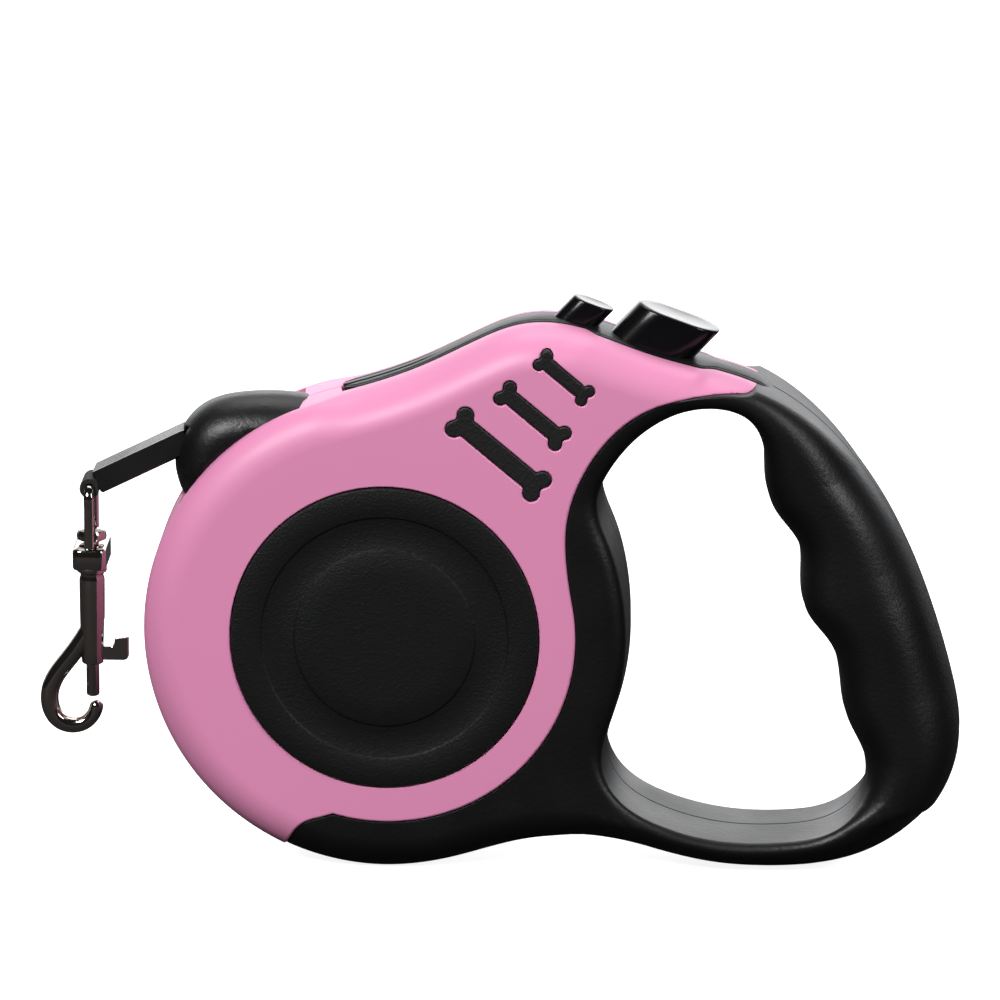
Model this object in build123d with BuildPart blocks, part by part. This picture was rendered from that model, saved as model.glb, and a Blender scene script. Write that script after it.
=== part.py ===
"""Retractable tape leash for a small dog: a drum with a spring reel, a hand grip and a snap hook.

The leash stands upright on the bottom of its drum and of its grip. +X runs towards the grip,
-Y is the front and +Z is up. The origin is under the middle of the object's box, on the ground.
Most profiles are drawn on SIDE, the middle plane between the two halves, whose own origin is the
reel's axis, with x to the grip and y up. Millimetres.
"""

from build123d import *
from math import cos, pi, radians, sin
import os

# ---------------------------------------------------------------- driving dimensions

DRUM_R = 46.0  # outside of the drum, which is also the height of the reel's axis
DRUM_X = -20.7  # the reel's axis, from the middle of the object's box
COVER_HALF = 14.5  # middle plane to the pink face
GRIP_HALF = 14.0  # middle plane to the black face
WALL = 2.0
SHOULDER = 6.0  # rounding between the pink faces and the outer edge
GRIP_EDGE = 2.9  # rounding of the black half's outer edge
INSET_POINTS = 48  # points that an inner outline is drawn through

DISC_R = 29.1
DISC_HALF = 15.0  # middle plane to the disc's face
TROUGH_IN, TROUGH_OUT, TROUGH_DEPTH = 17.0, 23.4, 0.3

COVER_R = 36.0  # where the black half shows outside the pink one, on the grip side
SPINE_HALF = 4.3  # half the width of the black strip along the top
SPINE_RIM = 1.3  # black rim round the brake button

CHAMBER_R = 41.4  # inside of the drum chamber
CHAMBER_WALL = 1.2
PLATE_IN = 11.1  # middle plane to the inside of the chamber's plate
PLATE_OUT = PLATE_IN + CHAMBER_WALL

TAPE_THICK = 1.0
TAPE_WIDE = 8.0
WOUND_R = 35.6  # outside of the fully wound tape
HUB_R = 18.5
HUB_WALL = 1.4
FLANGE_R = 39.5
FLANGE_THICK = 1.2
FLANGE_IN = 4.6  # middle plane to the inside of each flange
NOTCHES = 24
NOTCH_WIDE, NOTCH_DEEP = 5.0, 2.6

AXLE_R = 4.0
ARBOR_R = 6.5
RUNNING = 0.06  # radial clearance of a running fit
SCREW_R = 1.25
SCREW_HEAD_R = 2.3
CASING_SCREWS = [(96.0, -8.0), (81.0, 31.0), (94.2, -35.4), (36.0, -33.0)]
BOSS_R = 2.8

PRESS_ANGLE = 47.0  # the buttons slide towards the reel's axis along this line
BRAKE_Q, LOCK_Q = -0.5, -14.0  # stem centres, across the sliding direction
BRAKE_HALF, LOCK_HALF = 5.1, 3.0  # half widths along Y
BUTTON_GAP = 0.3
SEAT_S = 54.0  # the rib that both button springs stand on
SEAT_THICK = 1.5
BRAKE_SPRING_TOP, LOCK_SPRING_TOP = 66.6, 59.9

TAPE_TILT = 26.0  # the tape leaves the nose this far below level
TAPE_LINE = 36.45  # height of the tape's run over the winding
NOSE_HALF = 9.0
NOSE_PLANE = 42.7  # inner face of the nose, from the reel's axis
NOSE_TILT = 131.5  # direction of the nose from the reel's axis
SLEEVE_LONG, SLEEVE_THICK, SLEEVE_WIDE = 18.3, 4.5, 8.7
SLEEVE_END = (-55.3, 26.8)  # middle of the sleeve's outer end

CLIP_U = -56.6  # the snap hook's upright axis, from the reel's axis
EYE_V = 25.7  # height of the eye's bar, from the reel's axis
EYE_R = 1.0
LEG_Y = 5.5
BLOCK_LOW, BLOCK_HIGH = 10.2, 14.4
STEM_R = 1.5
HEAD_R = 2.85
BARREL_TOP, BARREL_LOW = 8.5, -9.3
BARREL_TOP_R, BARREL_LOW_R = 2.4, 2.15
BOLT_BORE_R, BOLT_R = 1.45, 1.25
BOLT_TOP, BOLT_LOW = -1.0, -15.7
BORE_TOP = 5.8

# ---------------------------------------------------------------- planes

SIDE = Plane(origin=(DRUM_X, 0, DRUM_R), x_dir=(1, 0, 0), z_dir=(0, -1, 0))
PRESS_COS, PRESS_SIN = cos(radians(PRESS_ANGLE)), sin(radians(PRESS_ANGLE))
# On PRESS, x is q, across the buttons' sliding line, and y is s, outwards along it.
PRESS = Plane(origin=SIDE.origin, x_dir=(PRESS_SIN, 0, -PRESS_COS), z_dir=(0, -1, 0))
# On STEM, z is s, so a sketch on STEM.offset(s) is a section across a button's stem.
STEM = Plane(origin=SIDE.origin, x_dir=(PRESS_SIN, 0, -PRESS_COS), z_dir=(PRESS_COS, 0, PRESS_SIN))
TAPE_COS, TAPE_SIN = cos(radians(TAPE_TILT)), sin(radians(TAPE_TILT))
CLIP = Plane(origin=(DRUM_X + CLIP_U, 0, DRUM_R), x_dir=(1, 0, 0), z_dir=(0, 0, 1))


def side_plane(depth):
    """The plane parallel to SIDE at Y = -depth."""
    return SIDE.offset(depth)


# ---------------------------------------------------------------- outlines on SIDE


def casing_outline():
    """The drum, the back over it, the grip and the arch under them."""
    with BuildSketch() as outline:
        with BuildLine():
            drum = CenterArc((0, 0), DRUM_R, 113, 155)
            Spline(
                drum @ 1,
                (12, -44.4), (25, -40.8), (36, -39.9), (47, -41.8), (60, -44.7), (76, -DRUM_R),
                (91, -43.1), (101.5, -36), (107.4, -26.5), (108.4, -18), (107, -9.5), (103.2, 3.6),
                (98.4, 16), (92.3, 27), (85.3, 36.3), (76.4, 44.1), (67, 48.9), (58, 51.4),
                (47, 54.6), (39, 57.5), (31.5, 59.1), (25, 58.7), (17, 55.6), (6.5, 50.5),
                (-5, 46.4), drum @ 0,
                tangents=(drum % 1, drum % 0),
            )
        make_face()
    return outline.sketch


def hand_hole_outline():
    """The opening of the grip, with the steps between the fingers on its right."""
    with BuildSketch() as outline:
        with BuildLine():
            Spline(
                (45.5, 0), (45, -7), (43, -15.5), (41, -24.5), (43.8, -31), (52, -36.4),
                (63.5, -39.4), (75, -39.6), (85, -37.2), (90.6, -30.8), (90.4, -23.5),
                (87, -16), (85.9, -9), (84, -2.3), (79.4, 4), (78.4, 10), (77.8, 17.2),
                (73.4, 23.5), (71.6, 29), (71.2, 36), (68.5, 42), (63, 44.4), (55.5, 43.4),
                (48.5, 39.4), (42.8, 33), (40, 26), (42.3, 18), (44.7, 9),
                periodic=True,
            )
        make_face()
    return outline.sketch


def cover_outline():
    """The part of the side that is pink: over the drum, and a tail under the back."""
    with BuildSketch() as outline:
        with BuildLine():
            tongue = Polyline((-24, -60), (-19.2, -41.6), (-15.8, -37))
            rim = CenterArc((0, 0), COVER_R, 254, 114)
            Spline(tongue @ 1, rim @ 0, tangents=(tongue % 1, rim % 0))
            tail = Spline(
                rim @ 1,
                (34.2, 15.5), (34.4, 23), (37.2, 31.5), (42, 38.6), (48.5, 43.9), (58, 47),
                (70.5, 47.2),
                tangents=(rim % 1, (1, 0)),
            )
            Polyline(tail @ 1, (70.5, 75), (-75, 75), (-75, -60), tongue @ 0)
        make_face()
    return outline.sketch


def nose_outline(inner):
    """The tape's outlet: a bulb outside, and a flat inner face at this distance from the axis."""
    out = (cos(radians(NOSE_TILT)), sin(radians(NOSE_TILT)))
    along = (-out[1], out[0])
    low, high = 11.0, -14.0
    with BuildSketch() as outline:
        with BuildLine():
            base = Line(
                (out[0] * inner + along[0] * low, out[1] * inner + along[1] * low),
                (out[0] * inner + along[0] * high, out[1] * inner + along[1] * high),
            )
            Line(base @ 1, (-18.2, 43.5))
            bulb = Spline(
                (-18.2, 43.5), (-26.5, 43.7), (-33.3, 42.8), (-37.9, 39.4), (-40.1, 35.2),
                (-40.5, 30.3), (-39.2, 25.4),
                tangents=((-1, 0.1), (0.6, -1)),
            )
            Line(bulb @ 1, base @ 0)
        make_face()
    return outline.sketch


def bone_outline(centre, reach, shaft, lobe, spread):
    """One bone: a shaft with two lobes at each end, lying 40 degrees down to the right."""
    with BuildSketch() as outline:
        with Locations(Location((centre[0], centre[1], 0), (0, 0, -40))):
            Rectangle(2 * reach, shaft)
            with Locations(*[(x, y) for x in (-reach, reach) for y in (-spread / 2, spread / 2)]):
                Circle(lobe)
    return outline.sketch


BONES = [
    bone_outline((21.5, 35.8), 9.4, 3.3, 1.6, 3.4),
    bone_outline((27.9, 43.3), 6.6, 2.6, 1.25, 2.7),
    bone_outline((33.8, 50.6), 5.1, 2.3, 1.05, 2.2),
]

# ---------------------------------------------------------------- forms shared by the halves


def drawn_in(outline, inset):
    """A smooth outline drawn in by inset, or grown where inset is negative."""
    if not inset:
        return outline
    wire = outline.faces()[0].outer_wire()
    points = []
    for step in range(INSET_POINTS):
        along = wire.tangent_at(step / INSET_POINTS)
        points.append(wire.position_at(step / INSET_POINTS) + Vector(-along.Y, along.X, 0) * inset)
    with BuildSketch() as smaller:
        with BuildLine():
            Spline(*points, periodic=True)
        make_face()
    return smaller.sketch


def half_form(outline, depth, edge, inset=0.0):
    """The front half of a rounded slab: the outline drawn in by inset, with its far edge rounded."""
    with BuildPart() as form:
        with BuildSketch(SIDE):
            add(drawn_in(outline, inset))
        extrude(amount=depth - inset)
        fillet(form.faces().sort_by(Axis.Y)[0].outer_wire().edges(), edge - inset)
    return form.part


def grip_form(inset=0.0):
    """The front half with the hand hole through it, drawn in by inset all round."""
    with BuildPart() as form:
        add(half_form(casing_outline(), GRIP_HALF, GRIP_EDGE, inset))
        with BuildSketch(SIDE):
            add(drawn_in(hand_hole_outline(), -inset))
        extrude(amount=GRIP_HALF, both=True, mode=Mode.SUBTRACT)
    return form.part


def prism(outline, depth):
    """An outline on SIDE, carried forward from the middle plane."""
    with BuildPart() as block:
        with BuildSketch(SIDE):
            add(outline)
        extrude(amount=depth)
    return block.part


def press_box(q_low, q_high, s_low, s_high, half):
    """A box along the buttons' sliding line, half wide each way from the middle plane."""
    with BuildPart() as block:
        with BuildSketch(PRESS):
            with Locations(((q_low + q_high) / 2, (s_low + s_high) / 2)):
                Rectangle(q_high - q_low, s_high - s_low)
        extrude(amount=half, both=True)
    return block.part


def press_prism(points, half):
    """A polygon of (q, s) points, half wide each way from the middle plane."""
    with BuildPart() as block:
        with BuildSketch(PRESS):
            with BuildLine():
                Polyline(*points, close=True)
            make_face()
        extrude(amount=half, both=True)
    return block.part


COVER_AREA = prism(cover_outline(), COVER_HALF + 1)
BRAKE_WELL = press_box(-8.0 - BUTTON_GAP, 6.9 + BUTTON_GAP, 60, 95, BRAKE_HALF + BUTTON_GAP)
LOCK_WELL = press_box(-17.7 - BUTTON_GAP, -10.3 + BUTTON_GAP, 58, 95, LOCK_HALF + BUTTON_GAP)

# The black strip along the top, as the space that it takes from the pink covers.
with BuildPart() as spine_space:
    with BuildSketch(SIDE):
        with BuildLine():
            Polyline((-8.5, 42.7), (-8.5, 62), (72, 70), (72, 47.2), (50, 47.2), (30, 54), (10, 48), close=True)
        make_face()
    extrude(amount=SPINE_HALF)
    add(press_box(-10.2, 9.0, 64, 95, BRAKE_HALF + BUTTON_GAP + SPINE_RIM))
    with Locations((0, 50, 0)):
        Box(400, 100, 400, mode=Mode.SUBTRACT)

COVER_INSIDE = half_form(casing_outline(), COVER_HALF, SHOULDER, WALL)
GRIP_INSIDE = grip_form(WALL)

# The wall of the rounded front half, which the pink cover and the black strip are cut from.
with BuildPart() as skin:
    add(half_form(casing_outline(), COVER_HALF, SHOULDER))
    add(COVER_INSIDE, mode=Mode.SUBTRACT)

# ---------------------------------------------------------------- pink covers

with BuildPart() as front_cover:
    add(skin.part)
    add(COVER_AREA, mode=Mode.INTERSECT)
    add(spine_space.part, mode=Mode.SUBTRACT)
    add(BRAKE_WELL, mode=Mode.SUBTRACT)
    add(LOCK_WELL, mode=Mode.SUBTRACT)
    add(prism(nose_outline(NOSE_PLANE), NOSE_HALF), mode=Mode.SUBTRACT)
    with BuildSketch(SIDE):
        Circle(DISC_R + 0.2)
        for bone in BONES:
            add(bone)
    extrude(amount=COVER_HALF + 1, mode=Mode.SUBTRACT)
front_cover.part.label = "front_cover"

with BuildPart() as rear_cover:
    mirror(front_cover.part, about=Plane.XZ)
rear_cover.part.label = "rear_cover"

# ---------------------------------------------------------------- black halves

# The ledge that the tail of the pink cover lies on.
with BuildPart() as tail_ledge:
    with BuildSketch(side_plane(PLATE_IN)):
        with BuildLine() as edge_line:
            Spline((34.2, 15.5), (34.4, 23), (37.2, 31.5), (42, 38.6), (48.5, 43.9), (58, 47))
        trace(edge_line.line, 6)
    extrude(amount=COVER_HALF - WALL - PLATE_IN)
    add(GRIP_INSIDE, mode=Mode.INTERSECT)
    add(COVER_INSIDE, mode=Mode.INTERSECT)

# Walls and a rib that guide the two buttons and carry their springs.
with BuildPart() as button_frame:
    add(press_box(-20.0, 7.4, 41.8, 62, 10.6))
    add(press_box(-18.8, 6.2, 41.0, 63, 9.4), mode=Mode.SUBTRACT)
    add(press_box(-19.4, 6.8, SEAT_S - SEAT_THICK / 2, SEAT_S + SEAT_THICK / 2, 10.0))
    add(press_box(-9.7, -8.9, SEAT_S, 66, 10.0))
    with BuildSketch(STEM.offset(40)):
        with Locations((BRAKE_Q, 0)):
            Circle(2.3)
        with Locations((LOCK_Q, 0)):
            Circle(1.5)
    extrude(amount=20, mode=Mode.SUBTRACT)
    add(GRIP_INSIDE, mode=Mode.INTERSECT)
    add(COVER_INSIDE, mode=Mode.INTERSECT)

# The strip along the top, under the buttons and on to the grip.
with BuildPart() as spine_strip:
    add(skin.part)
    add(spine_space.part, mode=Mode.INTERSECT)

# The drum chamber: a plate and a round wall, rounded to lie inside the pink cover.
with BuildPart() as chamber:
    with BuildSketch(SIDE):
        Circle(CHAMBER_R + CHAMBER_WALL)
    extrude(amount=PLATE_OUT)
    fillet(chamber.faces().sort_by(Axis.Y)[0].outer_wire().edges(), 2.5)

with BuildPart() as front_grip:
    add(grip_form())
    add(GRIP_INSIDE, mode=Mode.SUBTRACT)
    add(COVER_AREA, mode=Mode.SUBTRACT)
    add(spine_strip.part)
    add(tail_ledge.part)
    add(chamber.part)
    with BuildSketch(SIDE):
        Circle(CHAMBER_R)
    extrude(amount=PLATE_IN, mode=Mode.SUBTRACT)
    add(button_frame.part)
    # rib from the chamber to the near end of the strip
    with BuildSketch(SIDE):
        with Locations((-4, 44.2)):
            Rectangle(1.2, 4.4)
        with Locations((12, 47)):
            Rectangle(1.2, 12.5)
    extrude(amount=SPINE_HALF)
    # boss that holds the reel's axle
    with BuildSketch(side_plane(FLANGE_IN + FLANGE_THICK + 0.2)):
        Circle(AXLE_R + 2)
    extrude(amount=PLATE_IN - FLANGE_IN - FLANGE_THICK - 0.2)
    with BuildSketch(side_plane(FLANGE_IN)):
        Circle(AXLE_R)
    extrude(amount=PLATE_IN - FLANGE_IN, mode=Mode.SUBTRACT)
    with BuildSketch(side_plane(PLATE_IN)):
        Circle(SCREW_R)
    extrude(amount=CHAMBER_WALL, mode=Mode.SUBTRACT)
    # the tape's way out, and the way in for the brake's blade
    with BuildSketch(SIDE):
        with Locations((-24, TAPE_LINE)):
            Rectangle(20, 3.4)
    extrude(amount=TAPE_WIDE / 2 + 0.8, mode=Mode.SUBTRACT)
    add(press_box(BRAKE_Q - 2.6, BRAKE_Q + 2.6, 38, 44.5, 7.6), mode=Mode.SUBTRACT)
    add(BRAKE_WELL, mode=Mode.SUBTRACT)
    add(LOCK_WELL, mode=Mode.SUBTRACT)
    add(prism(nose_outline(NOSE_PLANE), NOSE_HALF), mode=Mode.SUBTRACT)
    # screw bosses, joined to the outer wall
    for spot in CASING_SCREWS:
        with BuildSketch(SIDE):
            with Locations(spot):
                Circle(BOSS_R)
        extrude(amount=GRIP_HALF - WALL)
    for spot in CASING_SCREWS:
        with BuildSketch(SIDE):
            with Locations(spot):
                Circle(SCREW_R)
        extrude(amount=9, mode=Mode.SUBTRACT)
front_grip.part.label = "front_grip"

with BuildPart() as rear_grip:
    mirror(front_grip.part, about=Plane.XZ)
    for spot in CASING_SCREWS:
        with BuildSketch(SIDE):
            with Locations(spot):
                Circle(SCREW_R)
        extrude(amount=-GRIP_HALF, mode=Mode.SUBTRACT)
        with BuildSketch(side_plane(-GRIP_HALF)):
            with Locations(spot):
                Circle(SCREW_HEAD_R)
        extrude(amount=3, mode=Mode.SUBTRACT)
rear_grip.part.label = "rear_grip"

# ---------------------------------------------------------------- discs and bones

with BuildPart() as front_disc:
    with BuildSketch(side_plane(PLATE_OUT)):
        Circle(DISC_R)
    extrude(amount=DISC_HALF - PLATE_OUT)
    with BuildSketch(side_plane(DISC_HALF - TROUGH_DEPTH)):
        Circle(TROUGH_OUT)
        Circle(TROUGH_IN, mode=Mode.SUBTRACT)
    extrude(amount=TROUGH_DEPTH, mode=Mode.SUBTRACT)
    with BuildSketch(side_plane(PLATE_OUT)):
        Circle(SCREW_HEAD_R + 0.4)
    extrude(amount=1.3, mode=Mode.SUBTRACT)
    fillet(front_disc.faces().sort_by(Axis.Y)[0].outer_wire().edges(), 0.4)
front_disc.part.label = "front_disc"

with BuildPart() as rear_disc:
    mirror(front_disc.part, about=Plane.XZ)
rear_disc.part.label = "rear_disc"

with BuildPart() as front_bones:
    with BuildSketch(side_plane(COVER_HALF - WALL)):
        for bone in BONES:
            add(bone)
    extrude(amount=WALL + 0.1)
front_bones.part.label = "front_bones"

with BuildPart() as rear_bones:
    mirror(front_bones.part, about=Plane.XZ)
rear_bones.part.label = "rear_bones"

# ---------------------------------------------------------------- nose

SLEEVE_START = (SLEEVE_END[0] + SLEEVE_LONG * TAPE_COS, SLEEVE_END[1] + SLEEVE_LONG * TAPE_SIN)
TURN = (
    SLEEVE_START[0] + (TAPE_LINE - SLEEVE_START[1]) / TAPE_SIN * TAPE_COS,
    TAPE_LINE,
)


def tape_stroke(thick):
    """The tape's run seen from the side: level over the winding, then down into the sleeve."""
    with BuildSketch() as stroke:
        with BuildLine() as path:
            FilletPolyline((-3, TAPE_LINE), TURN, SLEEVE_START, radius=4)
        trace(path.line, thick)
    return stroke.sketch


with BuildPart() as nose_guide:
    with BuildSketch(SIDE):
        add(nose_outline(NOSE_PLANE))
    extrude(amount=NOSE_HALF, both=True)
    bulb_edges = nose_guide.edges().group_by(Axis.Y)
    fillet([e for e in bulb_edges[0] + bulb_edges[-1] if e.geom_type == GeomType.BSPLINE], 4.5)
    with BuildSketch(SIDE):
        add(tape_stroke(2.2))
    extrude(amount=TAPE_WIDE / 2 + 0.6, both=True, mode=Mode.SUBTRACT)
    # mouth that takes the sleeve's end
    with BuildSketch(SIDE):
        with Locations(Location((SLEEVE_START[0], SLEEVE_START[1], 0), (0, 0, TAPE_TILT))):
            with Locations((-5, 0)):
                Rectangle(11, SLEEVE_THICK + 1.0)
    extrude(amount=SLEEVE_WIDE / 2 + 0.5, both=True, mode=Mode.SUBTRACT)
nose_guide.part.label = "nose_guide"

# ---------------------------------------------------------------- reel

with BuildPart() as axle_post:
    with BuildSketch(side_plane(-PLATE_IN)):
        Circle(AXLE_R)
    extrude(amount=2 * PLATE_IN)
    with BuildSketch(side_plane(-FLANGE_IN + 0.2)):
        Circle(ARBOR_R)
    extrude(amount=2 * FLANGE_IN - 0.4)
    for end in (1, -1):
        with BuildSketch(side_plane(end * PLATE_IN)):
            Circle(SCREW_R)
        extrude(amount=-6 * end, mode=Mode.SUBTRACT)
axle_post.part.label = "axle_post"


def flange_outline():
    """One flange: a disc with a running bore and the ratchet's notches in its rim."""
    with BuildSketch() as outline:
        Circle(FLANGE_R)
        Circle(AXLE_R + RUNNING, mode=Mode.SUBTRACT)
        with PolarLocations(FLANGE_R, NOTCHES, start_angle=PRESS_ANGLE):
            Rectangle(2 * NOTCH_DEEP, NOTCH_WIDE, mode=Mode.SUBTRACT)
    return outline.sketch


with BuildPart() as reel:
    with BuildSketch(side_plane(FLANGE_IN)):
        add(flange_outline())
    extrude(amount=FLANGE_THICK)
    with BuildSketch(side_plane(-FLANGE_IN)):
        Circle(HUB_R)
        Circle(HUB_R - HUB_WALL, mode=Mode.SUBTRACT)
    extrude(amount=2 * FLANGE_IN)
reel.part.label = "reel"

with BuildPart() as reel_cover:
    with BuildSketch(side_plane(-FLANGE_IN)):
        add(flange_outline())
    extrude(amount=-FLANGE_THICK)
reel_cover.part.label = "reel_cover"

with BuildPart() as wound_tape:
    with BuildSketch(side_plane(-TAPE_WIDE / 2)):
        Circle(WOUND_R)
        Circle(HUB_R, mode=Mode.SUBTRACT)
    extrude(amount=TAPE_WIDE)
wound_tape.part.label = "wound_tape"

SPRING_TURNS, SPRING_STEPS, SPRING_STRIP = 6, 12, 0.5
SPRING_IN, SPRING_OUT = ARBOR_R + 0.02, HUB_R - HUB_WALL - SPRING_STRIP - 0.02


def spiral(extra):
    """Points of an even spiral between the arbor and the hub, moved out by extra."""
    steps = SPRING_TURNS * SPRING_STEPS
    points = []
    for step in range(steps + 1):
        turn = 2 * pi * step / SPRING_STEPS
        radius = SPRING_IN + (SPRING_OUT - SPRING_IN) * step / steps + extra
        points.append((radius * cos(turn), radius * sin(turn)))
    return points


with BuildPart() as clock_spring:
    with BuildSketch(side_plane(-3.8)):
        with BuildLine():
            inner = Spline(*spiral(0.0))
            outer = Spline(*spiral(SPRING_STRIP))
            Line(inner @ 0, outer @ 0)
            Line(inner @ 1, outer @ 1)
        make_face()
    extrude(amount=7.6)
clock_spring.part.label = "clock_spring"

with BuildPart() as tape_lead:
    with BuildSketch(SIDE):
        add(tape_stroke(TAPE_THICK))
    extrude(amount=TAPE_WIDE / 2, both=True)
tape_lead.part.label = "tape_lead"

# ---------------------------------------------------------------- end of the tape

SLEEVE = Plane(
    origin=SIDE.from_local_coords((SLEEVE_END[0], SLEEVE_END[1], 0)),
    x_dir=(TAPE_COS, 0, TAPE_SIN),
    z_dir=(0, -1, 0),
)
LOOP_THICK, LOOP_TAIL = 0.8, 4.0
LOOP_IN = EYE_R + RUNNING + 0.02

with BuildPart() as tape_end_sleeve:
    with BuildSketch(SLEEVE):
        with Locations((SLEEVE_LONG / 2, 0)):
            Rectangle(SLEEVE_LONG, SLEEVE_THICK)
        with Locations((LOOP_TAIL / 2, 0)):
            Rectangle(LOOP_TAIL, 2 * LOOP_THICK, mode=Mode.SUBTRACT)
    extrude(amount=SLEEVE_WIDE / 2, both=True)
    fillet(tape_end_sleeve.edges().filter_by(Axis((0, 0, 0), SLEEVE.x_dir)), 0.5)
tape_end_sleeve.part.label = "tape_end_sleeve"

with BuildPart() as tape_end_loop:
    with BuildSketch(SIDE):
        with Locations((CLIP_U, EYE_V)):
            Circle(LOOP_IN + LOOP_THICK)
    extrude(amount=TAPE_WIDE / 2, both=True)
    with BuildSketch(SLEEVE):
        with Locations((10, 0)):
            Rectangle(20, 10)
    extrude(amount=TAPE_WIDE / 2 + 1, both=True, mode=Mode.SUBTRACT)
    with BuildSketch(SLEEVE):
        with Locations(((LOOP_TAIL - 0.9) / 2, 0)):
            Rectangle(LOOP_TAIL + 0.9, 2 * LOOP_THICK)
    extrude(amount=TAPE_WIDE / 2, both=True)
    with BuildSketch(SIDE):
        with Locations((CLIP_U, EYE_V)):
            Circle(LOOP_IN)
    extrude(amount=TAPE_WIDE / 2, both=True, mode=Mode.SUBTRACT)
tape_end_loop.part.label = "tape_end_loop"

# ---------------------------------------------------------------- snap hook

EYE_CORNER = 1.6

with BuildPart() as swivel_eye:
    with BuildLine(Plane(origin=CLIP.origin, x_dir=(0, 1, 0), z_dir=(1, 0, 0))) as stirrup:
        FilletPolyline(
            (-LEG_Y, BLOCK_HIGH - 1), (-LEG_Y, EYE_V), (LEG_Y, EYE_V), (LEG_Y, BLOCK_HIGH - 1),
            radius=EYE_CORNER,
        )
    with BuildSketch(CLIP.offset(BLOCK_HIGH - 1)):
        with Locations((0, -LEG_Y)):
            Circle(EYE_R)
    sweep(path=stirrup.line)
    with BuildSketch(CLIP.offset(BLOCK_LOW)):
        RectangleRounded(6.5, 2 * LEG_Y + 2.6, 2.4)
    extrude(amount=BLOCK_HIGH - BLOCK_LOW)
    with BuildSketch(CLIP.offset(BLOCK_LOW)):
        Circle(STEM_R + RUNNING)
    extrude(amount=BLOCK_HIGH - BLOCK_LOW, mode=Mode.SUBTRACT)
swivel_eye.part.label = "swivel_eye"

with BuildPart() as swivel_rivet:
    with BuildSketch(CLIP.offset(BLOCK_HIGH + 0.5)):
        Circle(HEAD_R)
    extrude(amount=2.2)
    fillet(swivel_rivet.faces().sort_by(Axis.Z)[-1].edges(), 1.0)
    with BuildSketch(CLIP.offset(BORE_TOP + 1)):
        Circle(STEM_R)
    extrude(amount=BLOCK_HIGH + 0.5 - BORE_TOP - 1)
swivel_rivet.part.label = "swivel_rivet"

HOOK_PATH = [(-1.4, -4.2), (-4.8, -8.8), (-8.1, -13.4), (-8.4, -18.0), (-4.3, -21.7), (-0.4, -20.3), (0.9, -16.5)]
HOOK_R = 1.6

with BuildPart() as hook_body:
    with BuildSketch(CLIP.offset(BARREL_TOP)):
        Circle(HEAD_R)
    extrude(amount=1.4)
    with BuildSketch(CLIP.offset(BARREL_LOW)):
        Circle(BARREL_LOW_R)
    with BuildSketch(CLIP.offset(BARREL_TOP)):
        Circle(BARREL_TOP_R)
    loft()
    with BuildLine(Plane(origin=CLIP.origin, x_dir=(1, 0, 0), z_dir=(0, -1, 0))) as hook_line:
        Spline(*HOOK_PATH)
    with BuildSketch(Plane(origin=hook_line.line @ 0, z_dir=hook_line.line % 0)):
        Circle(HOOK_R)
    sweep(path=hook_line.line)
    with BuildSketch(CLIP.offset(-14)):
        Circle(BOLT_BORE_R)
    extrude(amount=BORE_TOP + 14, mode=Mode.SUBTRACT)
    with BuildSketch(CLIP.offset(BORE_TOP + 1)):
        Circle(STEM_R)
    extrude(amount=6, mode=Mode.SUBTRACT)
    # slot for the thumb tab
    with BuildSketch(CLIP.offset(BARREL_LOW - 0.5)):
        with Locations((2.5, 0)):
            Rectangle(5, 1.9)
    extrude(amount=9.8, mode=Mode.SUBTRACT)
hook_body.part.label = "hook_body"

with BuildPart() as bolt:
    with BuildSketch(CLIP.offset(BOLT_LOW)):
        Circle(BOLT_R)
    extrude(amount=BOLT_TOP - BOLT_LOW)
    fillet(bolt.faces().sort_by(Axis.Z)[0].edges(), 0.4)
    # thumb tab: an arm out through the slot, with an upright end
    with BuildSketch(Plane(origin=CLIP.origin, x_dir=(1, 0, 0), z_dir=(0, -1, 0))):
        with BuildLine():
            Polyline((0, -8.6), (6.2, -8.6), (6.9, -7.9), (6.9, -3.9), (4.2, -4.3), (4.0, -5.9), (0, -5.9), close=True)
        make_face()
    extrude(amount=0.75, both=True)
bolt.part.label = "bolt"


def coil(plane, radius, wire, low, high, turns):
    """A helical spring of round wire standing on plane, from low to high along its normal."""
    height = high - low - wire
    with BuildPart() as spring:
        with BuildLine() as helix:
            Helix(pitch=height / turns, height=height, radius=radius)
        with BuildSketch(Plane(origin=helix.line @ 0, z_dir=helix.line % 0)):
            Circle(wire / 2)
        sweep(path=helix.line, is_frenet=True)
    return spring.part.moved(plane.offset(low + wire / 2).location)


with BuildPart() as bolt_spring:
    add(coil(CLIP, 1.1, 0.3, BOLT_TOP, BORE_TOP, 6))
bolt_spring.part.label = "bolt_spring"

# ---------------------------------------------------------------- buttons

with BuildPart() as brake_button:
    add(press_prism([(-8.0, 66), (6.9, 71.5), (6.9, 84.5), (-8.0, 78.1)], BRAKE_HALF))
    fillet(brake_button.edges().filter_by(Axis((0, 0, 0), STEM.z_dir)), 4.0)
    add(press_prism([(-8.7, 65.2), (7.5, 71.2), (7.5, 72.4), (-8.7, 66.4)], BRAKE_HALF + 0.8))
    with BuildSketch(STEM.offset(BRAKE_SPRING_TOP)):
        with Locations((BRAKE_Q, 0)):
            Circle(3.2)
    extrude(amount=3.5)
    with BuildSketch(STEM.offset(42)):
        with Locations((BRAKE_Q, 0)):
            Circle(2.0)
    extrude(amount=28)
    add(press_box(BRAKE_Q - 1.2, BRAKE_Q + 1.2, 41.0, 43.6, 7.0))
brake_button.part.label = "brake_button"

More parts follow.
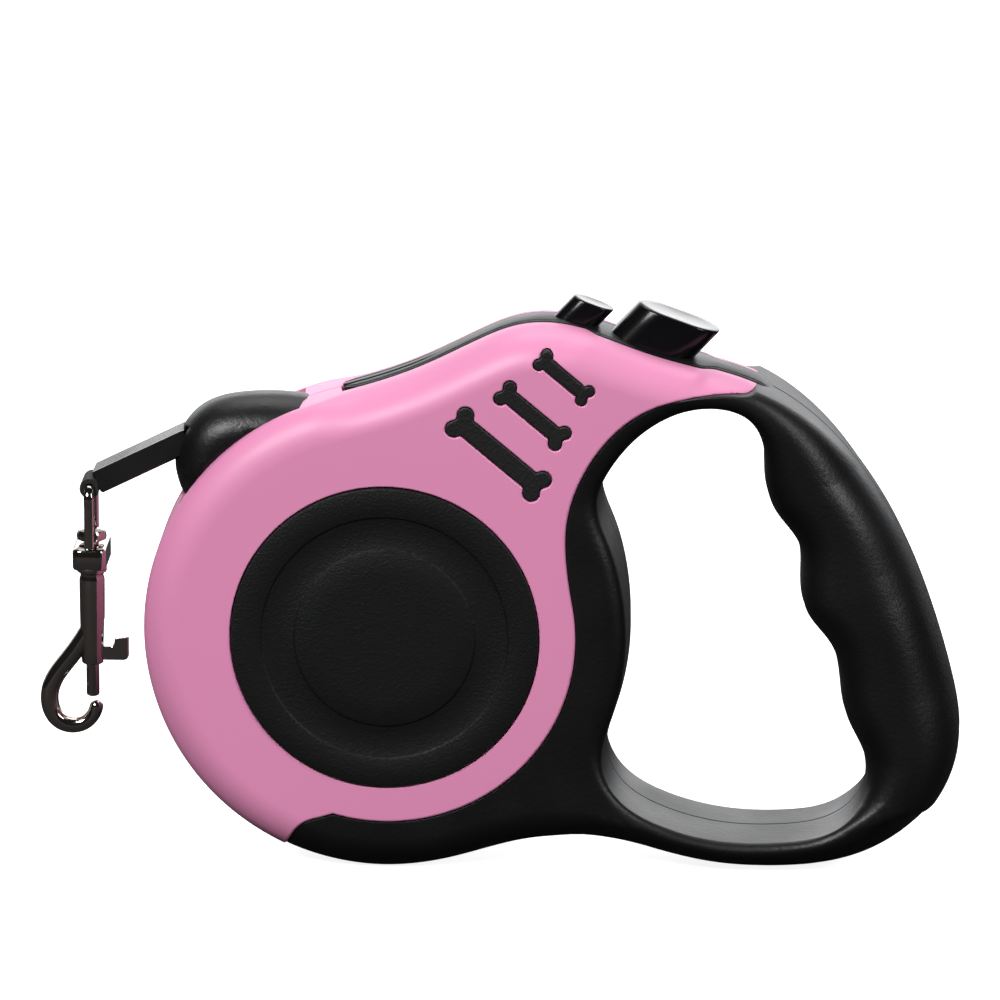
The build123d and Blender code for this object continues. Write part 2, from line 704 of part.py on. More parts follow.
with BuildPart() as lock_button:
    add(press_prism([(-17.7, 61.4), (-10.3, 64), (-10.3, 73.6), (-17.7, 70.5)], LOCK_HALF))
    fillet(lock_button.edges().filter_by(Axis((0, 0, 0), STEM.z_dir)), 2.0)
    add(press_prism([(-18.2, 59.2), (-10.1, 62.7), (-10.1, 63.9), (-18.2, 60.4)], LOCK_HALF + 0.7))
    with BuildSketch(STEM.offset(LOCK_SPRING_TOP)):
        with Locations((LOCK_Q, 0)):
            Circle(2.1)
    extrude(amount=2.5)
    with BuildSketch(STEM.offset(51)):
        with Locations((LOCK_Q, 0)):
            Circle(1.2)
    extrude(amount=12)
lock_button.part.label = "lock_button"

BRAKE_SPOT = Plane(origin=STEM.from_local_coords((BRAKE_Q, 0, 0)), x_dir=STEM.x_dir, z_dir=STEM.z_dir)
LOCK_SPOT = Plane(origin=STEM.from_local_coords((LOCK_Q, 0, 0)), x_dir=STEM.x_dir, z_dir=STEM.z_dir)

with BuildPart() as brake_spring:
    add(coil(BRAKE_SPOT, 2.8, 0.6, SEAT_S + SEAT_THICK / 2, BRAKE_SPRING_TOP, 5))
brake_spring.part.label = "brake_spring"

with BuildPart() as lock_spring:
    add(coil(LOCK_SPOT, 1.8, 0.4, SEAT_S + SEAT_THICK / 2, LOCK_SPRING_TOP, 4))
lock_spring.part.label = "lock_spring"

# ---------------------------------------------------------------- screws

with BuildPart() as casing_screws:
    for spot in CASING_SCREWS:
        with BuildSketch(side_plane(-GRIP_HALF + 3)):
            with Locations(spot):
                Circle(SCREW_HEAD_R - 0.1)
        extrude(amount=-1.6)
        with BuildSketch(side_plane(-GRIP_HALF + 3)):
            with Locations(spot):
                Circle(SCREW_R)
        extrude(amount=GRIP_HALF - 3 + 8)
casing_screws.part.label = "casing_screws"

with BuildPart() as axle_screws:
    for end in (1, -1):
        with BuildSketch(side_plane(end * PLATE_OUT)):
            Circle(SCREW_HEAD_R)
        extrude(amount=1.0 * end)
        with BuildSketch(side_plane(end * PLATE_OUT)):
            Circle(SCREW_R)
        extrude(amount=-5 * end)
axle_screws.part.label = "axle_screws"

# ---------------------------------------------------------------- write the pieces

PIECES = [
    front_cover, rear_cover, front_grip, rear_grip, front_disc, rear_disc, front_bones, rear_bones,
    nose_guide, axle_post, reel, reel_cover, clock_spring, wound_tape, tape_lead, tape_end_sleeve,
    tape_end_loop, swivel_eye, swivel_rivet, hook_body, bolt, bolt_spring, brake_button,
    lock_button, brake_spring, lock_spring, casing_screws, axle_screws,
]

os.makedirs("parts", exist_ok=True)
for piece in PIECES:
    export_step(piece.part, f"parts/{piece.part.label}.step")
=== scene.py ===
"""Looks for a retractable tape leash: pink drum covers, black grip, buttons and a nickel snap hook.

Shapes are worked out in millimetres. Most are drawn on the side plane, whose origin is the reel's
axis, with u towards the grip and v up; y is the row's own Y. Placing turns them into metres in the
row's frame.
"""

import logging
import math
from dataclasses import dataclass, field
from enum import Enum
from typing import Callable, Iterable, Sequence

import bmesh
import bpy
import numpy as np
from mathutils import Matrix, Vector
from mathutils.geometry import delaunay_2d_cdt


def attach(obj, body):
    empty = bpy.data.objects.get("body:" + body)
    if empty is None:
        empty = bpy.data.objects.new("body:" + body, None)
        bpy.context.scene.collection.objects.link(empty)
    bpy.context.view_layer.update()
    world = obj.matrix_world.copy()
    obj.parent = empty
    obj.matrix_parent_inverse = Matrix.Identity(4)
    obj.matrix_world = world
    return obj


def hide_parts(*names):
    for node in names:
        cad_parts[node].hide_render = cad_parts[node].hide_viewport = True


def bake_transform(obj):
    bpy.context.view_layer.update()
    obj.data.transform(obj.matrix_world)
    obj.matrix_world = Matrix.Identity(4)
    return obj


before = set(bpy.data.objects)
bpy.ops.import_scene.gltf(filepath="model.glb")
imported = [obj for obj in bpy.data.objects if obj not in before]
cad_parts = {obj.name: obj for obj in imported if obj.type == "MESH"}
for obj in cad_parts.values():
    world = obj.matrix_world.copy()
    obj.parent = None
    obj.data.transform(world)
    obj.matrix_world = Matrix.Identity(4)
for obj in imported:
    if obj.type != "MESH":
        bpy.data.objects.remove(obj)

log = logging.getLogger("leash")

MM = 0.001
AXIS_X, AXIS_Z = -20.7, 46.0  # the reel's axis in the row's frame
DRUM_R = 46.0
COVER_HALF = 14.5
GRIP_HALF = 14.0
SEAM = 0.02  # gap left at the middle plane between the two halves
PRESS_COS, PRESS_SIN = math.cos(math.radians(47.0)), math.sin(math.radians(47.0))
TAPE_COS, TAPE_SIN = math.cos(math.radians(26.0)), math.sin(math.radians(26.0))
TAPE_LINE = 36.45  # height of the tape's run over the winding
SLEEVE_END = (-55.3, 26.8)  # middle of the sleeve's outer end
SLEEVE_LONG = 18.3  # from that end to the nose
SPRING_SEAT = 54.75  # how far up their line the button springs stand

Array = np.ndarray
Height = Callable[[Array], Array]


class Side(Enum):
    """Which half of the casing a piece belongs to; the value is the sign of its Y."""

    FRONT = -1
    REAR = 1


# ---------------------------------------------------------------- curves


def spline(points: Sequence[tuple[float, ...]], count: int, closed: bool = False) -> Array:
    """A cubic spline through the points, in even steps along its length.

    The spline's second derivatives solve the three-term system whose knots are the running chord
    lengths: cyclic if the curve closes, and with straight ends if it doesn't.

    Args:
        points: points the curve passes through, in order.
        count: number of points wanted.
        closed: whether the last point leads back to the first.

    Returns:
        An array of count rows.
    """
    knots = np.asarray(points, float)
    size = len(knots)
    spans = size if closed else size - 1
    ahead = knots[np.arange(1, spans + 1) % size]
    chord = np.linalg.norm(ahead - knots[:spans], axis=1)
    slope = (ahead - knots[:spans]) / chord[:, None]
    rows = np.arange(size) if closed else np.arange(1, size - 1)
    before, after = chord[rows - 1], chord[rows]
    system = np.zeros((size, size)) if closed else np.eye(size)
    system[rows, rows] = 2 * (before + after)
    system[rows, (rows + 1) % size] = after
    system[rows, (rows - 1) % size] = before
    right = np.zeros_like(knots)
    right[rows] = 6 * (slope[rows] - slope[rows - 1])
    bend = np.linalg.solve(system, right)
    fine = np.linspace(0, spans, spans * 60 + (not closed), endpoint=not closed)
    at = np.minimum(fine.astype(int), spans - 1)
    t = (fine - at)[:, None]
    h = chord[at][:, None]
    nxt = (at + 1) % size
    line = (1 - t) * knots[at] + t * knots[nxt]
    sag = ((1 - t) ** 3 - (1 - t)) * bend[at] + (t**3 - t) * bend[nxt]
    return even_steps(line + sag * h * h / 6, count, closed)


def even_steps(path: Array, count: int, closed: bool) -> Array:
    """The same path in steps of one length, by linear interpolation over the running length."""
    whole = np.vstack([path, path[:1]]) if closed else path
    run = np.concatenate([[0], np.cumsum(np.linalg.norm(np.diff(whole, axis=0), axis=1))])
    want = np.linspace(0, run[-1], count + 1)[:-1] if closed else np.linspace(0, run[-1], count)
    return np.stack([np.interp(want, run, whole[:, k]) for k in range(whole.shape[1])], 1)


def arc(radius: float, start: float, end: float, count: int) -> Array:
    """Points on a circle about the reel's axis, from start to end in degrees."""
    angle = np.radians(np.linspace(start, end, count))
    return radius * np.stack([np.cos(angle), np.sin(angle)], 1)


def smooth(low: float, high: float, x: Array) -> Array:
    """0 below low, 1 above high, and an S-shaped rise 3t^2 - 2t^3 between."""
    t = np.clip((x - low) / (high - low), 0, 1)
    return t * t * (3 - 2 * t)


def roll_off(distance: Array, width: Array | float, drop: Array | float, power: float = 2.0) -> Array:
    """How far a rounded edge has fallen at a distance inside it.

    A superellipse: nothing beyond width, drop at the edge, and upright there.
    """
    x = np.clip(1 - distance / width, 0, 1)
    return drop * (1 - (1 - x**power) ** (1 / power))


def fall_steps(width: float, degrees: Sequence[float]) -> list[float]:
    """Distances from a rounded edge that share its turn evenly, for rings of points."""
    return [width * (1 - math.cos(a)) for a in np.radians(degrees)]


class Loop:
    """A closed outline on the side plane, run anticlockwise."""

    def __init__(self, points: Array) -> None:
        """Keeps the points, turned round if they run clockwise."""
        ahead = np.roll(points, -1, 0)
        area = np.sum(points[:, 0] * ahead[:, 1] - points[:, 1] * ahead[:, 0]) / 2
        self.points = points if area > 0 else points[::-1].copy()

    def distance(self, where: Array) -> Array:
        """Shortest distance from each point to the outline, over all its straight steps."""
        start = self.points
        step = np.roll(start, -1, 0) - start
        length = np.maximum(np.sum(step * step, 1), 1e-12)
        best = np.full(len(where), np.inf)
        for low in range(0, len(where), 4000):
            part = where[low : low + 4000]
            du = part[:, 0, None] - start[None, :, 0]
            dv = part[:, 1, None] - start[None, :, 1]
            t = np.clip((du * step[:, 0] + dv * step[:, 1]) / length, 0, 1)
            gap = (du - t * step[:, 0]) ** 2 + (dv - t * step[:, 1]) ** 2
            best[low : low + 4000] = np.sqrt(gap.min(1))
        return best

    def inside(self, where: Array) -> Array:
        """True for points that a ray towards +u leaves across an odd number of steps."""
        a, b = self.points, np.roll(self.points, -1, 0)
        u, v = where[:, 0, None], where[:, 1, None]
        spans = (a[:, 1] > v) != (b[:, 1] > v)
        rise = np.where(b[:, 1] == a[:, 1], 1e-12, b[:, 1] - a[:, 1])
        cross = a[:, 0] + (v - a[:, 1]) * (b[:, 0] - a[:, 0]) / rise
        return (np.sum(spans & (u < cross), 1) % 2) == 1

    def normals(self) -> Array:
        """Outward unit normals at the points, square to the step from the last to the next."""
        along = np.roll(self.points, -1, 0) - np.roll(self.points, 1, 0)
        along /= np.maximum(np.linalg.norm(along, axis=1), 1e-9)[:, None]
        return np.stack([along[:, 1], -along[:, 0]], 1)

    def ring(self, inset: float) -> Array:
        """The outline's points moved inwards, less those that come too near another stretch."""
        moved = self.points - self.normals() * inset
        return moved[self.distance(moved) > abs(inset) * 0.96]


# ---------------------------------------------------------------- meshes


def place(u: Array, y: Array, v: Array) -> Array:
    """Side-plane millimetres to metres in the row's frame."""
    return np.stack([(u + AXIS_X) * MM, y * MM, (v + AXIS_Z) * MM], -1)


def make_object(
    name: str,
    points: Array,
    faces: list[tuple[int, ...]],
    normals: Array | None = None,
    sharp: float = 40.0,
) -> bpy.types.Object:
    """A mesh object at the origin.

    Args:
        name: the piece's name.
        points: vertex places in metres.
        faces: corner indices of each face, anticlockwise from outside.
        normals: one normal for each face corner, or None to smooth up to the sharp angle.
        sharp: edges that turn by more than this many degrees stay sharp.

    Returns:
        The object, linked to the scene.
    """
    mesh = bpy.data.meshes.new(name)
    mesh.from_pydata(points.tolist(), [], faces)
    mesh.polygons.foreach_set("use_smooth", np.ones(len(mesh.polygons), bool))
    if normals is None:
        mesh.set_sharp_from_angle(angle=math.radians(sharp))
    else:
        mesh.normals_split_custom_set(normals.tolist())
    mesh.update()
    thing = bpy.data.objects.new(name, mesh)
    bpy.context.scene.collection.objects.link(thing)
    return thing


def skin_rings(rings: Array, closed_path: bool = False) -> list[tuple[int, ...]]:
    """Faces over a stack of closed rings, rings[k, j], with flat caps unless the path closes."""
    count, size = rings.shape[:2]
    last = count if closed_path else count - 1
    k, j = np.meshgrid(np.arange(last), np.arange(size), indexing="ij")
    k2, j2 = (k + 1) % count, (j + 1) % size
    quads = np.stack([k * size + j, k * size + j2, k2 * size + j2, k2 * size + j], -1)
    faces = [tuple(q) for q in quads.reshape(-1, 4).tolist()]
    if not closed_path:
        faces.append(tuple(range(size))[::-1])
        faces.append(tuple(range((count - 1) * size, count * size)))
    return faces


def outward(thing: bpy.types.Object) -> bpy.types.Object:
    """Turns every face of a closed mesh outwards."""
    work = bmesh.new()
    work.from_mesh(thing.data)
    bmesh.ops.recalc_face_normals(work, faces=work.faces)
    work.to_mesh(thing.data)
    work.free()
    return thing


def ring_object(name: str, rings: Array, sharp: float = 40.0, closed_path: bool = False) -> bpy.types.Object:
    """A closed skin over rings given in metres."""
    faces = skin_rings(rings, closed_path)
    thing = outward(make_object(name, rings.reshape(-1, 3), faces))
    thing.data.set_sharp_from_angle(angle=math.radians(sharp))
    return thing


def turned(name: str, centre: Array, axis: Array, profile: Sequence[tuple[float, float]], count: int = 96,
           sharp: float = 40.0) -> bpy.types.Object:
    """A solid of revolution: (radius, height) pairs carried round an axis, in millimetres."""
    axis = axis / np.linalg.norm(axis)
    side = np.cross(axis, [0.0, 1.0, 0.0] if abs(axis[1]) < 0.9 else [1.0, 0.0, 0.0])
    side /= np.linalg.norm(side)
    other = np.cross(axis, side)
    angle = np.linspace(0, 2 * math.pi, count, endpoint=False)
    spoke = np.cos(angle)[:, None] * side + np.sin(angle)[:, None] * other
    radius, height = np.asarray(profile, float).T
    rings = centre + radius[:, None, None] * spoke + height[:, None, None] * axis
    return ring_object(name, rings * MM, sharp)


def superellipse(half_a: float, half_b: float, power: float, count: int) -> Array:
    """Points round |a/A|^p + |b/B|^p = 1."""
    angle = np.linspace(0, 2 * math.pi, count, endpoint=False)
    c, s = np.cos(angle), np.sin(angle)
    reach = (np.abs(c) ** power + np.abs(s) ** power) ** (-1 / power)
    return np.stack([half_a * c * reach, half_b * s * reach], 1)


def round_rectangle(half_a: float, half_b: float, radius: float, count: int) -> Array:
    """Points in even steps round a rectangle whose corners are arcs."""
    angle = np.linspace(0, math.pi / 2, 9)
    quarter = radius * np.stack([np.cos(angle), np.sin(angle)], 1)
    corners = []
    for turn, (sa, sb) in enumerate(((1, 1), (-1, 1), (-1, -1), (1, -1))):
        c, s = math.cos(turn * math.pi / 2), math.sin(turn * math.pi / 2)
        centre = np.array([sa * (half_a - radius), sb * (half_b - radius)])
        corners.append(quarter @ np.array([[c, s], [-s, c]]) + centre)
    return even_steps(np.vstack(corners), count, closed=True)


def planar_tube(path: Array, across: Array, half_side: Array, half_across: Array,
                power: float = 2.0, count: int = 40) -> Array:
    """Rings along a path that lies in a plane.

    Args:
        path: points of the centre line, in millimetres.
        across: the plane's normal, a unit vector.
        half_side: half size in the plane at each point.
        half_across: half size along the plane's normal at each point.
        power: exponent of the superellipse section.
        count: points round a ring.

    Returns:
        rings[k, j, xyz].
    """
    along = np.gradient(path, axis=0)
    along /= np.linalg.norm(along, axis=1)[:, None]
    in_plane = np.cross(along, across)
    shape = superellipse(1.0, 1.0, power, count)
    return (
        path[:, None, :]
        + in_plane[:, None, :] * (half_side[:, None] * shape[:, 0])[..., None]
        + across * (half_across[:, None] * shape[:, 1])[..., None]
    )


# ---------------------------------------------------------------- plates with a rounded relief


@dataclass
class Plan:
    """A region of the side plane, cut into triangles."""

    points: Array
    triangles: Array
    edge: Array  # directed boundary edges, with the region on their left

    def edge_normals(self) -> tuple[Array, Array]:
        """Boundary vertices and their outward unit normals, the sum of both edges' normals."""
        step = self.points[self.edge[:, 1]] - self.points[self.edge[:, 0]]
        right = np.stack([step[:, 1], -step[:, 0]], 1)
        right /= np.maximum(np.linalg.norm(right, axis=1), 1e-9)[:, None]
        total = np.zeros_like(self.points)
        np.add.at(total, self.edge[:, 0], right)
        np.add.at(total, self.edge[:, 1], right)
        on = np.unique(self.edge)
        return on, total[on] / np.maximum(np.linalg.norm(total[on], axis=1), 1e-9)[:, None]


def cut_plan(
    loops: Sequence[Loop],
    keep: Callable[[Array], Array],
    rings: Iterable[tuple[Loop, Sequence[float]]],
    pitch: float,
) -> Plan:
    """Triangles over the kept region, with the loops as edges.

    Extra points lie on rings drawn in from the loops and on a hexagonal grid between them.

    Args:
        loops: outlines that the triangles don't cross.
        keep: which points belong to the region.
        rings: a loop and the distances inside it that get a ring of points.
        pitch: spacing of the grid.

    Returns:
        The plan.
    """
    fixed = np.vstack([loop.points for loop in loops])
    extra = [loop.ring(inset) for loop, insets in rings for inset in insets]
    extra = np.vstack(extra) if extra else np.zeros((0, 2))
    extra = extra[keep(extra)]
    cell = np.round(extra / 0.14).astype(int)
    extra = extra[np.unique(cell, axis=0, return_index=True)[1]]
    low, high = fixed.min(0), fixed.max(0)
    rows = np.arange(low[1], high[1], pitch * 0.866)
    columns = np.arange(low[0], high[0], pitch)
    u, v = np.meshgrid(columns, rows)
    u = u + (np.arange(len(rows)) % 2)[:, None] * pitch / 2
    grid = np.stack([u.ravel(), v.ravel()], 1)
    grid = grid[keep(grid)]
    taken = np.round(np.vstack([fixed, extra]) / (pitch * 0.7)).astype(int)
    around = np.array([(a, b) for a in (-1, 0, 1) for b in (-1, 0, 1)])
    taken = (taken[:, None, :] + around).reshape(-1, 2)
    code = taken[:, 0] * 100003 + taken[:, 1]
    mine = np.round(grid / (pitch * 0.7)).astype(int)
    grid = grid[~np.isin(mine[:, 0] * 100003 + mine[:, 1], code)]
    every = np.vstack([fixed, extra, grid])
    edges, start = [], 0
    for loop in loops:
        n = len(loop.points)
        edges += [(start + i, start + (i + 1) % n) for i in range(n)]
        start += n
    cut = delaunay_2d_cdt([Vector(p) for p in every.tolist()], edges, [], 0, 1e-5)
    points = np.array([tuple(p) for p in cut[0]])
    triangles = np.array(cut[2])
    a, b, c = (points[triangles[:, k]] for k in range(3))
    area = (b[:, 0] - a[:, 0]) * (c[:, 1] - a[:, 1]) - (b[:, 1] - a[:, 1]) * (c[:, 0] - a[:, 0])
    triangles = np.where((area < 0)[:, None], triangles[:, ::-1], triangles)
    triangles = triangles[keep((a + b + c) / 3) & (np.abs(area) > 1e-9)]
    used, where = np.unique(triangles, return_inverse=True)
    triangles = where.reshape(-1, 3)
    points = points[used]
    sides = np.vstack([triangles[:, [0, 1]], triangles[:, [1, 2]], triangles[:, [2, 0]]])
    forward = sides[:, 0] * len(points) + sides[:, 1]
    back = sides[:, 1] * len(points) + sides[:, 0]
    return Plan(points, triangles, sides[~np.isin(forward, back)])


def relief(
    name: str,
    plan: Plan,
    height: Height,
    side: Side,
    ends: Height | None = None,
    bevel: float = 0.3,
    draft: Height | None = None,
) -> bpy.types.Object:
    """A closed plate whose face stands height away from the middle plane.

    The face is y = height(u, v). Its walls run down to ends(u, v), where a small bevel leaves a
    groove beside the next piece, and a back closes it. Without ends, the plate is the same on both
    sides of the middle plane. Normals on the face come from the height's slope.

    Args:
        name: the piece's name.
        plan: the region.
        height: the face's distance from the middle plane at each point.
        side: which half the piece belongs to.
        ends: the back's distance from the middle plane, or None for a two-sided plate.
        bevel: size of the bevel at the walls' ends.
        draft: how far the walls stand out at their ends.

    Returns:
        The object.
    """
    p, n = plan.points, len(plan.points)
    h = height(p)
    e = 0.01
    slope_u = (height(p + [e, 0]) - height(p - [e, 0])) / (2 * e)
    slope_v = (height(p + [0, e]) - height(p - [0, e])) / (2 * e)
    face = np.stack([-slope_u, np.full(n, -1.0), -slope_v], 1)
    on, out = plan.edge_normals()
    face[on] = np.stack([out[:, 0], np.zeros(len(on)), out[:, 1]], 1)
    face /= np.linalg.norm(face, axis=1)[:, None]
    front = np.stack([p[:, 0], -h, p[:, 1]], 1)
    spot = np.full(n, -1)
    spot[on] = np.arange(len(on))
    a, b = plan.edge[:, 0], plan.edge[:, 1]
    flat = face[on]
    if ends is None:
        points = np.vstack([front, front * [1, -1, 1]])
        mirrored = face * [1, -1, 1]
        quads = np.stack([b, a, a + n, b + n], 1)
        corner = np.stack([face[b], face[a], mirrored[a], mirrored[b]], 1)
        faces = plan.triangles.tolist() + quads.tolist() + (plan.triangles[:, ::-1] + n).tolist()
        lower = mirrored[plan.triangles[:, ::-1]]
        normals = np.vstack([part.reshape(-1, 3) for part in (face[plan.triangles], corner, lower)])
    else:
        stop = np.minimum(ends(p), h - 0.3)
        lean = draft(p[on]) if draft else np.zeros(len(on))
        k = len(on)

        def row(depth: Array, shift: Array) -> Array:
            """Boundary points at a depth, moved out by shift."""
            moved = p[on] + out * shift[:, None]
            return np.stack([moved[:, 0], -depth, moved[:, 1]], 1)

        first = row(stop[on] + bevel, lean)
        second = row(stop[on] + bevel * 0.25, lean - bevel * 0.3)
        back = np.stack([p[:, 0], -stop, p[:, 1]], 1)
        back[on] = row(stop[on], lean - bevel)
        points = np.vstack([front, first, second, back])
        inward = np.array([0.0, 1.0, 0.0])
        slant = flat * 0.7 + inward * 0.7
        r1, r2, r3 = n + spot, n + k + spot, n + 2 * k + np.arange(n)
        bands = [
            (np.stack([b, a, r1[a], r1[b]], 1), (flat, flat)),
            (np.stack([r1[b], r1[a], r2[a], r2[b]], 1), (flat, slant)),
            (np.stack([r2[b], r2[a], r3[a], r3[b]], 1), (slant, slant)),
        ]
        faces = plan.triangles.tolist()
        normals = [face[plan.triangles].reshape(-1, 3)]
        for quads, (upper, lower) in bands:
            faces += quads.tolist()
            corner = np.stack([upper[spot[b]], upper[spot[a]], lower[spot[a]], lower[spot[b]]], 1)
            normals.append(corner.reshape(-1, 3))
        faces += r3[plan.triangles[:, ::-1]].tolist()
        normals.append(np.broadcast_to(inward, (3 * len(plan.triangles), 3)))
        normals = np.vstack(normals)
    if side is Side.REAR:
        points = points * [1, -1, 1]
        counts = np.array([len(f) for f in faces])
        ends_at = np.cumsum(counts)
        starts = ends_at - counts
        order = np.concatenate([np.arange(t - 1, s - 1, -1) for s, t in zip(starts, ends_at)])
        normals = (normals * [1, -1, 1])[order]
        faces = [f[::-1] for f in faces]
    return make_object(name, place(points[:, 0], points[:, 1], points[:, 2]), faces, normals)


# ---------------------------------------------------------------- materials


def linear(code: str) -> tuple[float, float, float, float]:
    """An sRGB hex colour as linear red, green, blue and alpha."""
    parts = [int(code[i : i + 2], 16) / 255 for i in (1, 3, 5)]
    return (*[c / 12.92 if c <= 0.04045 else ((c + 0.055) / 1.055) ** 2.4 for c in parts], 1.0)


def add_node(tree: bpy.types.NodeTree, kind: str, settings: dict | None = None,
             links: dict | None = None) -> bpy.types.Node:
    """Adds a node.

    Args:
        tree: the node tree.
        kind: the node's type name.
        settings: attribute names to values, and input names or numbers, written "in:NAME", to values.
        links: input names to the sockets they are fed from.

    Returns:
        The node.
    """
    made = tree.nodes.new(kind)
    for key, value in (settings or {}).items():
        if key.startswith("in:"):
            made.inputs[int(key[3:]) if key[3:].isdigit() else key[3:]].default_value = value
        else:
            setattr(made, key, value)
    for key, socket in (links or {}).items():
        tree.links.new(socket, made.inputs[int(key) if key.isdigit() else key])
    return made


def multiply(tree: bpy.types.NodeTree, a: bpy.types.NodeSocket, b: bpy.types.NodeSocket) -> bpy.types.NodeSocket:
    """The product of two values."""
    return add_node(tree, "ShaderNodeMath", {"operation": "MULTIPLY"}, {"0": a, "1": b}).outputs[0]


class Surface(Enum):
    """How a finish's fine relief is patterned."""

    GRAIN = "moulded grain"
    SPARK = "spark-eroded"
    POLISH = "polished"
    WEAVE = "woven"
    CAST = "cast and plated"


@dataclass(frozen=True)
class Finish:
    """One surface finish and the material it makes."""

    name: str
    colour: str
    surface: Surface
    roughness: float
    grain_mm: float
    relief_mm: float
    ior: float = 1.5
    metallic: float = 0.0
    patchy: float = 0.0  # how much the roughness varies from place to place
    shift: str = ""  # a second colour that large soft patches lean to
    glint_paint: str = ""  # colour painted on the grains' peaks as painted glints

    def material(self) -> bpy.types.Material:
        """The finish's material, made once."""
        found = bpy.data.materials.get(self.name)
        if found:
            return found
        made = bpy.data.materials.new(self.name)
        made.use_nodes = True
        tree = made.node_tree
        shader = tree.nodes["Principled BSDF"]
        for socket, value in (
            ("Base Color", linear(self.colour)), ("Roughness", self.roughness), ("Metallic", self.metallic),
        ):
            shader.inputs[socket].default_value = value
        if not self.metallic:
            shader.inputs["IOR"].default_value = self.ior
        where = add_node(tree, "ShaderNodeTexCoord").outputs["Object"]
        grain = self.pattern(tree, where)
        bump = add_node(
            tree, "ShaderNodeBump", {"in:Strength": 1.0, "in:Distance": self.relief_mm * MM}, {"Height": grain}
        )
        tree.links.new(bump.outputs["Normal"], shader.inputs["Normal"])
        if self.patchy:
            soft = add_node(tree, "ShaderNodeTexNoise", {"in:Scale": 60.0, "in:Detail": 3.0}, {"Vector": where})
            spread = add_node(
                tree, "ShaderNodeMapRange",
                {"in:From Min": 0.3, "in:From Max": 0.7, "in:To Min": self.roughness - self.patchy,
                 "in:To Max": self.roughness + self.patchy},
                {"Value": soft.outputs["Fac"]},
            )
            tree.links.new(spread.outputs["Result"], shader.inputs["Roughness"])
        colour = None
        if self.shift:
            drift = add_node(tree, "ShaderNodeTexNoise", {"in:Scale": 14.0, "in:Detail": 2.0}, {"Vector": where})
            colour = add_node(
                tree, "ShaderNodeMix", {"data_type": "RGBA", "in:6": linear(self.colour), "in:7": linear(self.shift)},
                {"0": drift.outputs["Fac"]},
            ).outputs[2]
        # Painted glints: the grain's highest points get a lighter colour that stands in for light catching them.
        if self.glint_paint:
            lit = add_node(
                tree, "ShaderNodeMapRange", {"in:From Min": 0.60, "in:From Max": 0.78}, {"Value": grain}
            ).outputs["Result"]
            mix = add_node(
                tree, "ShaderNodeMix", {"data_type": "RGBA", "in:6": linear(self.colour), "in:7": linear(self.glint_paint)},
                {"0": lit},
            )
            if colour is not None:
                tree.links.new(colour, mix.inputs[6])
            colour = mix.outputs[2]
        if colour is not None:
            tree.links.new(colour, shader.inputs["Base Color"])
        return made

    def pattern(self, tree: bpy.types.NodeTree, where: bpy.types.NodeSocket) -> bpy.types.NodeSocket:
        """The fine relief's height, from the real size of a grain.

        Args:
            tree: the material's nodes.
            where: object coordinates.

        Returns:
            The socket that holds the height.
        """
        scale = 1.0 / (self.grain_mm * MM)
        if self.surface is Surface.WEAVE:
            waves = [
                add_node(
                    tree, "ShaderNodeTexWave",
                    {"wave_type": "BANDS", "bands_direction": way, "in:Scale": scale / long,
                     "in:Distortion": 0.4, "in:Detail Scale": scale},
                    {"Vector": where},
                ).outputs["Fac"]
                for way, long in (("Y", 6.3), ("X", 9.0))
            ]
            return multiply(tree, *waves)
        if self.surface is Surface.SPARK:
            pits = add_node(
                tree, "ShaderNodeTexVoronoi", {"in:Scale": scale, "feature": "F1"}, {"Vector": where}
            )
            dust = add_node(
                tree, "ShaderNodeTexNoise",
                {"in:Scale": scale * 0.8, "in:Detail": 4.0, "in:Roughness": 0.7}, {"Vector": where},
            )
            return multiply(tree, pits.outputs["Distance"], dust.outputs["Fac"])
        detail = {Surface.GRAIN: 3.0, Surface.POLISH: 1.0, Surface.CAST: 2.0}[self.surface]
        noise = add_node(
            tree, "ShaderNodeTexNoise",
            {"in:Scale": scale * 0.5, "in:Detail": detail, "in:Roughness": 0.55}, {"Vector": where},
        )
        return noise.outputs["Fac"]


# ABS dyed pink, from a lightly sand-blasted mould: an even satin with soft highlights.
PINK_ABS = Finish(
    "pink_satin_abs", "#E994BE", Surface.GRAIN, 0.44, 0.5, 0.012, ior=1.5, patchy=0.03, shift="#E58FB9"
)
# Black ABS with a soft-touch lacquer, 0.4 mm grain: dark grey sheen that breaks up into fine specks.
SOFT_BLACK = Finish("soft_touch_black", "#0C0C0D", Surface.GRAIN, 0.43, 0.42, 0.07, ior=1.45, patchy=0.05,
                    shift="#0B0B0C")
# Spark-eroded black ABS, about 0.4 mm pits: matte, with glints painted as a lighter colour on the grain's peaks.
ERODED_BLACK = Finish("spark_eroded_black", "#0B0C0C", Surface.SPARK, 0.5, 0.42, 0.11, ior=1.4, glint_paint="#2C2D2E")
INLAY_BLACK = Finish("inlay_black", "#0D0D0D", Surface.SPARK, 0.55, 0.5, 0.10, ior=1.5)
# Polished black ABS: a dark mirror.
GLOSS_BLACK = Finish("polished_black_abs", "#0B0B0D", Surface.POLISH, 0.2, 2.0, 0.004, ior=1.4)
SLEEVE_BLACK = Finish("sleeve_black", "#101011", Surface.GRAIN, 0.36, 0.4, 0.02, ior=1.5, patchy=0.05)
# Nylon webbing, 0.5 mm threads.
BLACK_TAPE = Finish("woven_nylon_tape", "#0F0F10", Surface.WEAVE, 0.75, 0.55, 0.12, ior=1.53)
# Bright nickel over tumbled zinc casting: mirror with shallow dimples of 1 to 2 mm.
NICKEL = Finish("bright_nickel_plate", "#B9B0AA", Surface.CAST, 0.10, 1.6, 0.03, metallic=1.0)
SPRING_STEEL = Finish("spring_steel", "#8F9092", Surface.POLISH, 0.28, 0.6, 0.004, metallic=1.0)
ACETAL = Finish("natural_acetal", "#E4E2DA", Surface.GRAIN, 0.42, 0.5, 0.01, ior=1.48)


